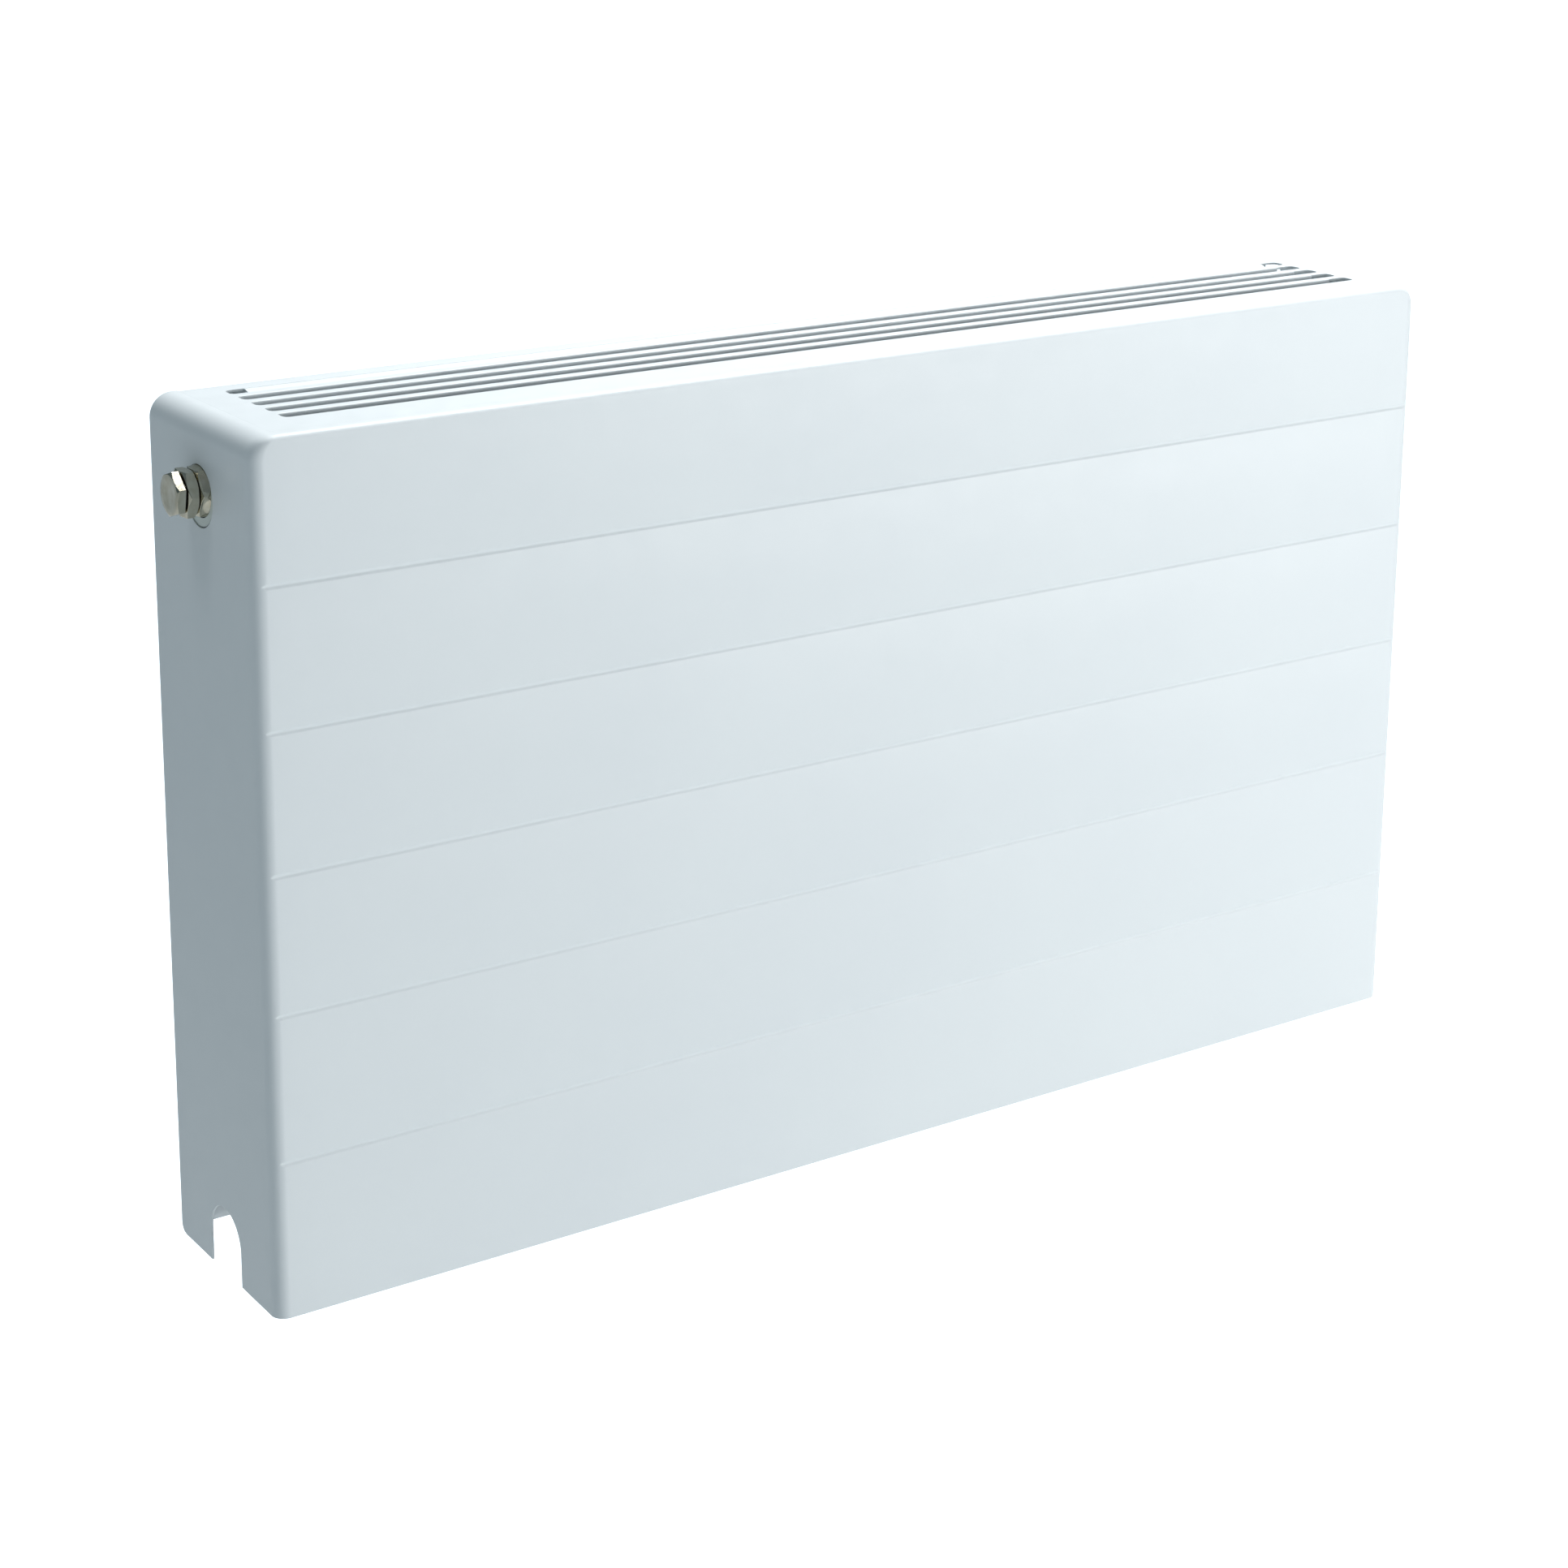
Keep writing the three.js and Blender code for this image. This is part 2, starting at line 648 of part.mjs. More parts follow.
function returnSpring(from, to) {
  const steps = springTurns * 10;
  const points = [];
  const length = to - from - springWire;
  for (let i = 0; i <= steps; i += 1) {
    const angle = (i / 10) * Math.PI * 2;
    const y = from + springWire / 2 + (length * i) / steps;
    points.push(new THREE.Vector3(springRadius * Math.cos(angle), y, springRadius * Math.sin(angle)));
  }
  const section = new THREE.Shape();
  section.absarc(0, 0, springWire / 2, 0, Math.PI * 2, false);
  const extrudePath = new THREE.CatmullRomCurve3(points);
  return new THREE.ExtrudeGeometry(section, { extrudePath, steps, bevelEnabled: false, curveSegments: 3 });
}

function valveAssembly() {
  const group = endGroup(-1, upperHubZ);
  const bossFace = -bossInset;
  const barrelOuterFace = rosetteInnerFace - clearance;
  const barrelInnerFace = bossFace + clearance;

  const barrelBore = shankRadius - barrelWall;
  const barrel = turned([
    [barrelBore, bossFace - barrelShank], [shankRadius, bossFace - barrelShank],
    [shankRadius, barrelInnerFace], [barrelRadius, barrelInnerFace],
    [barrelRadius, barrelOuterFace], [threadRadius, barrelOuterFace],
    [threadRadius, barrelInnerFace + barrelWall], [barrelBore, barrelInnerFace + barrelWall],
  ], 24);
  group.add(piece('valve_barrel', barrel, nickel));

  const rosetteShape = new THREE.Shape();
  rosetteShape.absarc(0, -portDrop, portRadius - rosetteGap, 0, Math.PI * 2, false);
  const rosetteBore = new THREE.Path();
  rosetteBore.absarc(0, 0, threadRadius + clearance, 0, Math.PI * 2, true);
  rosetteShape.holes.push(rosetteBore);
  const rosette = prism(rosetteShape, 'y', rosetteInnerFace, rosetteOuterFace, 14);
  const rim = prism(rosetteShape, 'y', rosetteOuterFace - lap, rosetteRimFace, 14)
    .subtract(disc(collarCornerRadius + rosetteRimGap, rosetteInnerFace, 0, 32));
  group.add(piece('valve_rosette', rosette.add(rim), whitePlastic));

  group.add(piece('valve_insert', valveInsert(), nickel));

  const nut = hexagon(nutHexFlats, nutInnerFace, nutOuterFace, 30, { outer: true, inner: true })
    .subtract(disc(insertNeckRadius + clearance, nutInnerFace - 1, nutOuterFace + 1));
  group.add(piece('union_nut', nut, nickel));

  const washerOuter = valveReach - capHead - clearance;
  const washerRadius = insertNeckRadius + capWasherRim;
  const washerInner = washerOuter - capWasherThickness;
  const washer = ring(capSpigotRadius + clearance, washerRadius, washerInner, washerOuter);
  group.add(piece('cap_washer', washer, rubber));
  group.add(piece('valve_cap', valveCap(), nickel));

  const glandRadius = springRoom - clearance;
  const sealLow = pinCollarHigh + glandGap;
  const sealHigh = sealLow + glandSealThickness;
  const bushLow = sealHigh + clearance;
  const bush = ring(pinRadius + clearance, glandRadius, bushLow, bushLow + glandBushThickness);
  group.add(piece('gland_bush', bush, brass));
  group.add(piece('gland_seal', ring(pinRadius + clearance, glandRadius, sealLow, sealHigh, 16), rubber));

  const discOuter = insertShankEnd - clearance;
  const footOuter = discOuter - discThickness - clearance;
  const spindle = disc(pinRadius, footOuter - pinFootLength, pinTip, 12)
    .add(disc(springRoom - 2 * clearance, pinCollarLow, pinCollarHigh))
    .add(disc(pinFootRadius, footOuter - pinFootLength, footOuter, 12));
  group.add(piece('valve_spindle', spindle, steel));
  const seatDisc = ring(pinRadius + clearance, discRadius, discOuter - discThickness, discOuter);
  group.add(piece('valve_disc', seatDisc, rubber));

  const spring = returnSpring(chamberFloor + clearance, pinCollarLow - clearance);
  group.add(piece('return_spring', solid(spring), steel));
  return group;
}

function blankPlug(name, sealName, side) {
  const group = endGroup(side, lowerHubZ);
  const bossFace = -bossInset;
  const seal = ring(threadRadius + clearance, plugHexFlats / 2, bossFace + clearance,
    bossFace + clearance + sealThickness);
  const headInner = bossFace + sealThickness + 2 * clearance;
  const plug = hexagon(plugHexFlats, headInner, headInner + plugHead, 0)
    .add(disc(shankRadius, bossFace - plugShank, headInner + 1))
    .subtract(hexagon(plugHexFlats / 2, headInner + 1, headInner + plugHead + 1, 0, { outer: false }));
  group.add(piece(name, plug, nickel), piece(sealName, seal, rubber));
  return group;
}

function airVent() {
  const group = endGroup(1, upperHubZ);
  const bossFace = -bossInset;
  const seal = ring(threadRadius + clearance, ventHexFlats / 2, bossFace + clearance,
    bossFace + clearance + sealThickness);
  group.add(piece('vent_plug_seal', seal, rubber));

  const headInner = bossFace + sealThickness + 2 * clearance;
  const headOuter = headInner + plugHead;
  const seatFloor = bossFace - plugShank + ventSeatFloor;
  const plug = hexagon(ventHexFlats, headInner, headOuter, 30)
    .add(disc(shankRadius, bossFace - plugShank, headInner + 1))
    .subtract(disc(ventBoreRadius, seatFloor, headOuter + 1, 16))
    .subtract(disc(ventScrewRadius / 2, bossFace - plugShank - 1, seatFloor + 1, 12));
  group.add(piece('vent_plug', plug, nickel));

  const outletInner = headOuter + clearance;
  const outletOuter = outletInner + outletThickness;
  const headLow = outletOuter + ventHeadStandOff;
  const squareCorner = ventSquare / Math.SQRT2;
  const square = new THREE.CylinderGeometry(squareCorner, squareCorner, ventHeadLength, 4);
  square.rotateY(Math.PI / 4);
  square.translate(0, headLow + ventHeadLength / 2, 0);
  const threadLow = seatFloor + ventConeLength;
  const threadHigh = threadLow + ventThreadLength;
  const stem = [[0, seatFloor + clearance], [ventScrewRadius, threadLow], [ventScrewRadius, headLow + lap],
    [0, headLow + lap]];
  const screw = union([
    turned(stem, 16),
    disc(ventBoreRadius - clearance, threadLow, threadHigh, 16),
    solid(square),
  ]);
  group.add(piece('vent_screw', screw, brass));
  const sealLow = threadHigh + clearance;
  const screwSeal = ring(ventScrewRadius + clearance, ventBoreRadius - clearance, sealLow,
    sealLow + ventSealThickness, 16);
  group.add(piece('vent_screw_seal', screwSeal, rubber));

  // The outlet ring swivels round the screw and carries a spout.
  const middle = (outletInner + outletOuter) / 2;
  const spoutEnd = -outletRadius - spoutReach;
  const spout = bar('z', spoutRadius, spoutEnd, spoutRadius - outletRadius, [0, middle], 12);
  const channel = bar('z', spoutRadius - spoutWall, spoutEnd - 1, -ventScrewRadius, [0, middle], 8);
  const outlet = ring(ventScrewRadius + clearance, outletRadius, outletInner, outletOuter, 24)
    .add(spout)
    .subtract(channel);
  group.add(piece('bleed_outlet', outlet, whitePlastic));
  return group;
}

// ---------------------------------------------------------------- lugs, spacers, brackets and clips

// A hanging lug on the back of the rear panel, its bridge towards the wall.
function hangingLug(name, x, z) {
  const panelBack = rear - panelWallGap + clearance;
  const corners = hat(lugHeight, lugFoot, lugSlope, panelWallGap - clearance, lugThickness);
  const section = outline(corners.map(([along, rise]) => [panelBack + rise, z + along]));
  return piece(name, prism(section, 'x', x - lugWidth / 2, x + lugWidth / 2), coreWhite);
}

// A plastic block on the back of the rear panel that keeps its foot off the wall.
function wallSpacer(name, x) {
  const y0 = rear - panelWallGap + clearance;
  const z0 = spacerCentre - spacerHeight / 2;
  const z1 = spacerCentre + spacerHeight / 2;
  const section = roundedBox(y0, z0, rear, z1, [0, spacerRadius, spacerRadius, 0]);
  return piece(name, prism(section, 'x', x - spacerWidth / 2, x + spacerWidth / 2), whitePlastic);
}

// A hat bracket on the face of the front panel that carries the front cover.
function frontBracket(name, x, z) {
  const seat = frontPanelFace - clearance;
  const rise = panelFrontGap - sheet - 2 * clearance;
  const corners = hat(bracketHeight, bracketFoot, rise, rise, stripThickness);
  const section = outline(corners.map(([along, up]) => [seat - up, z + along]));
  return piece(name, prism(section, 'x', x - bracketWidth / 2, x + bracketWidth / 2), coreWhite);
}

// A spring clip on the end of the front panel that holds a side cover.
function sideClip(name, side, z) {
  const seat = caseWidth / 2 - panelEndGap + clearance;
  const rise = panelEndGap - sheet - 2 * clearance;
  const corners = hat(clipHeight, bracketFoot, rise / 2, rise, stripThickness);
  const section = outline(corners.map(([along, up]) => [side * (seat + up), z + along]));
  const y0 = front + frontReturn + 2 * clearance;
  return piece(name, prism(section, 'y', y0, frontPanelFace + panelThickness), coreWhite);
}

// A spring clip on top of the front panel that holds the grille.
function grilleClip(name, x) {
  const seat = panelTop + clearance;
  const rise = panelTopGap - sheet - 2 * clearance;
  const corners = hat(grilleClipLength, bracketFoot, bracketFoot / 2, rise, stripThickness);
  const section = outline(corners.map(([along, up]) => [x + along, seat + up]));
  const y0 = front + frontReturn + 2 * clearance;
  return piece(name, prism(section, 'y', y0, frontPanelFace + panelThickness), coreWhite);
}

// ---------------------------------------------------------------- assembly

function group(...members) {
  const holder = new THREE.Group();
  holder.add(...members);
  return holder;
}

function casing() {
  return group(frontCover(), sideCover('side_cover_left', -1), sideCover('side_cover_right', 1), topGrille());
}

function heatingCore() {
  const frontGapStart = frontPanelFace + panelThickness;
  const frontGapMiddle = (frontGapStart + middlePanelFace) / 2;
  return group(
    waterPanel('water_panel_front', frontPanelFace, false),
    waterPanel('water_panel_middle', middlePanelFace, true),
    waterPanel('water_panel_rear', rearPanelFace, false),
    convector('convector_front', frontGapStart, frontGapMiddle),
    convector('convector_middle', frontGapMiddle, middlePanelFace),
    convector('convector_rear', middlePanelFace + panelThickness, rearPanelFace),
    hub('hub_upper_left', -1, upperHubZ, true),
    hub('hub_upper_right', 1, upperHubZ, false),
    hub('hub_lower_left', -1, lowerHubZ, false),
    hub('hub_lower_right', 1, lowerHubZ, false),
    flowSocket(),
    returnSocket(),
    riserPipe(),
  );
}

function plugs() {
  return group(
    blankPlug('blank_plug_left', 'blank_plug_seal_left', -1),
    blankPlug('blank_plug_right', 'blank_plug_seal_right', 1),
  );
}

function fixings() {
  const holder = new THREE.Group();
  for (const [word, side] of [['left', -1], ['right', 1]]) {
    const lugX = side * (caseWidth / 2 - lugInset);
    const bracketX = side * (caseWidth / 2 - bracketInset);
    holder.add(
      hangingLug(`hanging_lug_upper_${word}`, lugX, panelTop - lugUpperDrop),
      hangingLug(`hanging_lug_lower_${word}`, lugX, lugLowerCentre),
      wallSpacer(`wall_spacer_${word}`, lugX),
      frontBracket(`front_bracket_upper_${word}`, bracketX, panelTop - bracketUpperDrop),
      frontBracket(`front_bracket_lower_${word}`, bracketX, bracketLowerCentre),
      sideClip(`side_clip_upper_${word}`, side, panelTop - headerHeight / 2),
      sideClip(`side_clip_lower_${word}`, side, panelBottom + headerHeight / 2),
      grilleClip(`grille_clip_${word}`, side * (caseWidth / 2 - grilleClipInset)),
    );
  }
  return holder;
}

const radiator = group(casing(), heatingCore(), valveAssembly(), airVent(), plugs(), fixings());
radiator.position.x = valveReach / 2;

export default radiator;
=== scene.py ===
"""Looks of a fully clad panel radiator with a nickel-plated valve on its upper left side.

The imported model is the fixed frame. Pressed, bent and turned pieces are computed as whole numpy
arrays in the frame's metres and stand for their plain nodes; the other nodes keep their shape and
get a finish. +Z is up, the front faces -Y and the wall is at +Y.
"""

import sys
import json
import logging
import math
from dataclasses import dataclass
from enum import Enum

import bmesh
import bpy
import numpy as np
from mathutils import Matrix, Vector

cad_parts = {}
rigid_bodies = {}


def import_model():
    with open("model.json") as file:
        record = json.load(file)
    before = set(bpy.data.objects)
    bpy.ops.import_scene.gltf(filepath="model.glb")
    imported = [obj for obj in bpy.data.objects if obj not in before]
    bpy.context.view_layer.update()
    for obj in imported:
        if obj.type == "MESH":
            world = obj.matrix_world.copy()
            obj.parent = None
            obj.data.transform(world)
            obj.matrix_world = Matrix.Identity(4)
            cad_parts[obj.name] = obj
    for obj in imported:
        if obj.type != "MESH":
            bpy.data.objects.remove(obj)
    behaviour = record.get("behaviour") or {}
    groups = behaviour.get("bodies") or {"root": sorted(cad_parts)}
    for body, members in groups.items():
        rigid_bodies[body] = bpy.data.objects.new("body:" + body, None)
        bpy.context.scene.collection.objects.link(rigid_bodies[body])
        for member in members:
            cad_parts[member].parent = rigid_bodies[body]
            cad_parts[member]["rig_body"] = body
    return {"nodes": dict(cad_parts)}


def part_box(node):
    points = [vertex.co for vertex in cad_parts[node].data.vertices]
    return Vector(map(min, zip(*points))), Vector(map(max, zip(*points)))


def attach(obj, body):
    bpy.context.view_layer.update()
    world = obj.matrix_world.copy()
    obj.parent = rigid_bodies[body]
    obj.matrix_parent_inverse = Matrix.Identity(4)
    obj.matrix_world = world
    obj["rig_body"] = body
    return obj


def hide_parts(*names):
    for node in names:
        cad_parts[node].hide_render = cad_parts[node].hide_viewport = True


log = logging.getLogger("radiator")
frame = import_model()

MM = 0.001
WELD = 1e-6  # vertices nearer than this become one
SHARP = math.radians(35)  # an edge that turns more than this is a crease
AROUND = 120  # vertices round a circle
ROUND_HEXAGON = 360  # vertices round a piece that has a hexagon
QUARTER = 17  # points round a quarter bend of the casing

LEG_SHARE = 0.45  # the most of a short leg that a rounding takes
FLAT_SHARE = 0.98  # a hexagon's turned-off corners start at this share of half its flats
CORNER_FALL = 0.6  # and fall by this share of the rise to the corner
CORNER_POINTS = 13  # points along that fall
PAST_CORNER = 0.2  # millimetres that a turned outline stands past the corners
EDGE_STEPS = 3  # pieces across a turned edge's rounding

Array = np.ndarray
Object = bpy.types.Object
Socket = bpy.types.NodeSocket
Triple = tuple[float, float, float]
Colour = Triple  # linear red, green and blue
Noise = tuple[float, float]  # waves in a metre, and octaves
Mesh = tuple[Array, Array]  # vertices, and quads as vertex numbers


class Side(Enum):
    """The two ends of the radiator. The value is the direction along X that leads outwards."""

    LEFT = -1
    RIGHT = 1

    @property
    def word(self) -> str:
        """Returns the word for it in names."""
        return self.name.lower()


class Facing(Enum):
    """Which way a strip's bridge stands. The value is its direction along Y."""

    FRONT = -1
    WALL = 1


class Joining(Enum):
    """What tools do to a piece. The value is Blender's name for it."""

    CUT = "DIFFERENCE"
    ADD = "UNION"


# ---------------------------------------------------------------- shapes


def rectangle(x0: float, x1: float, y0: float, y1: float) -> Array:
    """Returns a rectangle's corners, anticlockwise from the lowest."""
    return np.array([[x0, y0], [x1, y0], [x1, y1], [x0, y1]])


def grid_points(x: Array | float, y: Array | float, z: Array | float) -> Array:
    """Returns points whose coordinates are three arrays of shapes that fit each other."""
    return np.stack(np.broadcast_arrays(x, y, z), axis=-1)


def smooth_step(low: float, high: float, value: Array) -> Array:
    """The curve 3t^2 - 2t^3, with t running from 0 at `low` to 1 at `high`.

    Args:
        low: where the curve leaves 0.
        high: where it reaches 1.
        value: where it is read.

    Returns:
        The curve's height at each value.
    """
    t = np.clip((value - low) / (high - low), 0, 1)
    return t * t * (3 - 2 * t)


def bend_lean(rise: Array, radius: float) -> Array:
    """How far a quarter-round bend has leant in: radius - sqrt(radius^2 - rise^2).

    Args:
        rise: height above the bend's start, held between 0 and the radius.
        radius: the bend's radius.

    Returns:
        The inward lean at each rise.
    """
    rise = np.clip(rise, 0, radius)
    return radius - np.sqrt(radius**2 - rise**2)


def soften(corners: Array, radius: float, steps: int = 4, closed: bool = False) -> Array:
    """Rounds a line of corners. A corner P becomes (1-t)^2 A + 2t(1-t) P + t^2 B, where A and B
    lie `radius` before and after it, or at 0.45 of a leg that is shorter.

    Args:
        corners: the corners, one row each.
        radius: the reach of the rounding, one number or a column with one for each corner.
        steps: pieces that each corner is divided into.
        closed: whether the line returns to its start.

    Returns:
        The rounded line's points.
    """
    back = np.roll(corners, 1, axis=0) - corners
    ahead = np.roll(corners, -1, axis=0) - corners
    back_length = np.linalg.norm(back, axis=1, keepdims=True)
    ahead_length = np.linalg.norm(ahead, axis=1, keepdims=True)
    start = corners + back / back_length * np.minimum(radius, LEG_SHARE * back_length)
    end = corners + ahead / ahead_length * np.minimum(radius, LEG_SHARE * ahead_length)
    t = np.linspace(0, 1, steps + 1)[None, :, None]
    curve = (1 - t) ** 2 * start[:, None] + 2 * t * (1 - t) * corners[:, None] + t**2 * end[:, None]
    if closed:
        return curve.reshape(-1, 2)
    return np.vstack([corners[:1], curve[1:-1].reshape(-1, 2), corners[-1:]])


def offset_line(line: Array, distance: float) -> Array:
    """The line moved sideways: each point plus `distance` times the left normal of its tangent.

    Args:
        line: points, one row each.
        distance: how far to the left it moves.

    Returns:
        The moved points.
    """
    tangent = np.gradient(line, axis=0)
    tangent /= np.linalg.norm(tangent, axis=1, keepdims=True)
    return line + distance * np.column_stack([-tangent[:, 1], tangent[:, 0]])


def hexagon_radius(angle: Array, flats: float, turn: float, sharpness: float = 220) -> Array:
    """Radius of a hexagon with softly rounded edges: (flats/2) / (sum of cos(angle - a_i)^p)^(1/p),
    with a_i the directions of its six flats and p its sharpness.

    Args:
        angle: directions in which the radius is read.
        flats: size across the flats.
        turn: direction of the first flat.
        sharpness: the power p.

    Returns:
        The radius in each direction.
    """
    flat_directions = turn + np.arange(6) * math.pi / 3
    facing = np.maximum(np.cos(angle[:, None] - flat_directions[None, :]), 0)
    return flats / 2 / np.sum(facing**sharpness, axis=1) ** (1 / sharpness)


def grid_faces(rows: int, columns: int, wrap_columns: bool = False) -> Array:
    """Quads over a grid whose vertex (i, j) is number i * columns + j.

    Args:
        rows: count of rows.
        columns: count of columns.
        wrap_columns: whether the last column joins the first.

    Returns:
        One row of four vertex numbers for each quad.
    """
    i = np.arange(rows - 1)[:, None]
    j = np.arange(columns if wrap_columns else columns - 1)[None, :]
    below, beside = i + 1, (j + 1) % columns
    corners = (i * columns + j, i * columns + beside, below * columns + beside, below * columns + j)
    return np.stack(np.broadcast_arrays(*corners), axis=-1).reshape(-1, 4)


def slab_faces(rows: int, columns: int) -> Array:
    """Quads of a closed slab: one grid, a second grid facing the other way, and the rim between
    them. The second grid's vertices follow the first's.

    Args:
        rows: rows of each grid.
        columns: columns of each grid.

    Returns:
        One row of four vertex numbers for each quad.
    """
    face = grid_faces(rows, columns)
    number = np.arange(rows * columns).reshape(rows, columns)
    rim = np.concatenate([number[0, :-1], number[:-1, -1], number[-1, :0:-1], number[:0:-1, 0]])
    ahead = np.roll(rim, -1)
    second = rows * columns
    sides = np.column_stack([rim, rim + second, ahead + second, ahead])
    return np.vstack([face, face[:, ::-1] + second, sides])


def volume_of(points: Array, faces: Array) -> float:
    """Signed volume of a closed mesh of quads: the sum of a.(b x c) / 6 over its triangles."""
    a, b, c, d = (points[faces[:, k]] for k in range(4))
    return float(np.sum(a * np.cross(b, c)) + np.sum(a * np.cross(c, d))) / 6


def add_piece(name: str, points: Array, faces: Array, closed: bool = True) -> Object:
    """Makes a piece whose place is in its mesh, with the vertices that coincide merged.

    Args:
        name: the piece's name.
        points: vertices, in metres, in an array whose last axis is x, y, z.
        faces: one row of four vertex numbers for each quad.
        closed: whether it is a closed body, whose faces are turned outwards.

    Returns:
        The new object, at the origin.
    """
    points = points.reshape(-1, 3)
    if closed and volume_of(points, faces) < 0:
        faces = faces[:, ::-1]
    mesh = bpy.data.meshes.new(name)
    mesh.from_pydata(points.tolist(), [], faces.tolist())
    work = bmesh.new()
    work.from_mesh(mesh)
    bmesh.ops.remove_doubles(work, verts=work.verts, dist=WELD)
    work.to_mesh(mesh)
    work.free()
    piece = bpy.data.objects.new(name, mesh)
    bpy.context.scene.collection.objects.link(piece)
    return piece


def sweep_outline(outline: Array, low: float, high: float) -> Mesh:
    """A closed prism: the outline at `low` and at `high` along X, with each end closed on its
    own middle point.

    Args:
        outline: closed line of (y, z) points.
        low: where it starts along X.
        high: where it ends.

    Returns:
        The vertices and the quads, some of which fold onto the middle points.
    """
    middle = np.broadcast_to(outline.mean(axis=0), outline.shape)
    loops = np.stack([middle, outline, outline, middle])
    x = np.array([low, low, high, high])[:, None]
    return grid_points(x, loops[..., 0], loops[..., 1]), grid_faces(4, len(outline), wrap_columns=True)


def add_cylinder(name: str, centre: Array, radius: float, low: float, high: float) -> Object:
    """Makes a round bar along X: (y, z) = centre + radius (cos a, sin a).

    Args:
        name: the piece's name.
        centre: y and z of its axis.
        radius: its radius.
        low: where it starts along X.
        high: where it ends.

    Returns:
        The piece.
    """
    angle = np.arange(AROUND) * 2 * math.pi / AROUND
    outline = centre + radius * np.column_stack([np.cos(angle), np.sin(angle)])
    return add_piece(name, *sweep_outline(outline, low, high))


def sweep_strip(outer: Array, inner: Array, x0: float, x1: float) -> Mesh:
    """A bent strip as a closed slab: a line of (y, z) points and its offset, swept along X.

    Args:
        outer: one face's line.
        inner: the other face's line.
        x0: where the strip starts along X.
        x1: where it ends.

    Returns:
        The vertices and the quads.
    """
    skins = [grid_points(np.array([x0, x1]), line[:, :1], line[:, 1:]) for line in (outer, inner)]
    return np.stack(skins), slab_faces(len(outer), 2)


def settle(piece: Object) -> None:
    """Applies the modifiers of a piece to its mesh.

    Args:
        piece: the piece.
    """
    graph = bpy.context.evaluated_depsgraph_get()
    made = bpy.data.meshes.new_from_object(piece.evaluated_get(graph), depsgraph=graph)
    piece.modifiers.clear()
    piece.data = made


def combine(piece: Object, tools: list[Object], joining: Joining) -> None:
    """Cuts tools from a piece or adds them to it, and removes the tools.

    Args:
        piece: the piece that changes.
        tools: closed bodies.
        joining: whether they cut or add.
    """
    for tool in tools:
        modifier = piece.modifiers.new("combine", "BOOLEAN")
        modifier.operation = joining.value
        modifier.solver = "EXACT"
        modifier.object = tool
    settle(piece)
    for tool in tools:
        bpy.data.objects.remove(tool)


def ease_edges(piece: Object, width: float, segments: int) -> None:
    """Shades a piece smoothly and rounds its creases a little.

    Args:
        piece: the piece.
        width: width of the rounding, or 0 for none.
        segments: faces across it.
    """
    piece.data.polygons.foreach_set("use_smooth", np.ones(len(piece.data.polygons), bool))
    piece.data.set_sharp_from_angle(angle=SHARP)
    if width <= 0:
        return
    bevel = piece.modifiers.new("eased edges", "BEVEL")
    bevel.width = width
    bevel.segments = segments
    bevel.limit_method = "ANGLE"
    bevel.angle_limit = SHARP
    bevel.harden_normals = True


# ---------------------------------------------------------------- finishes


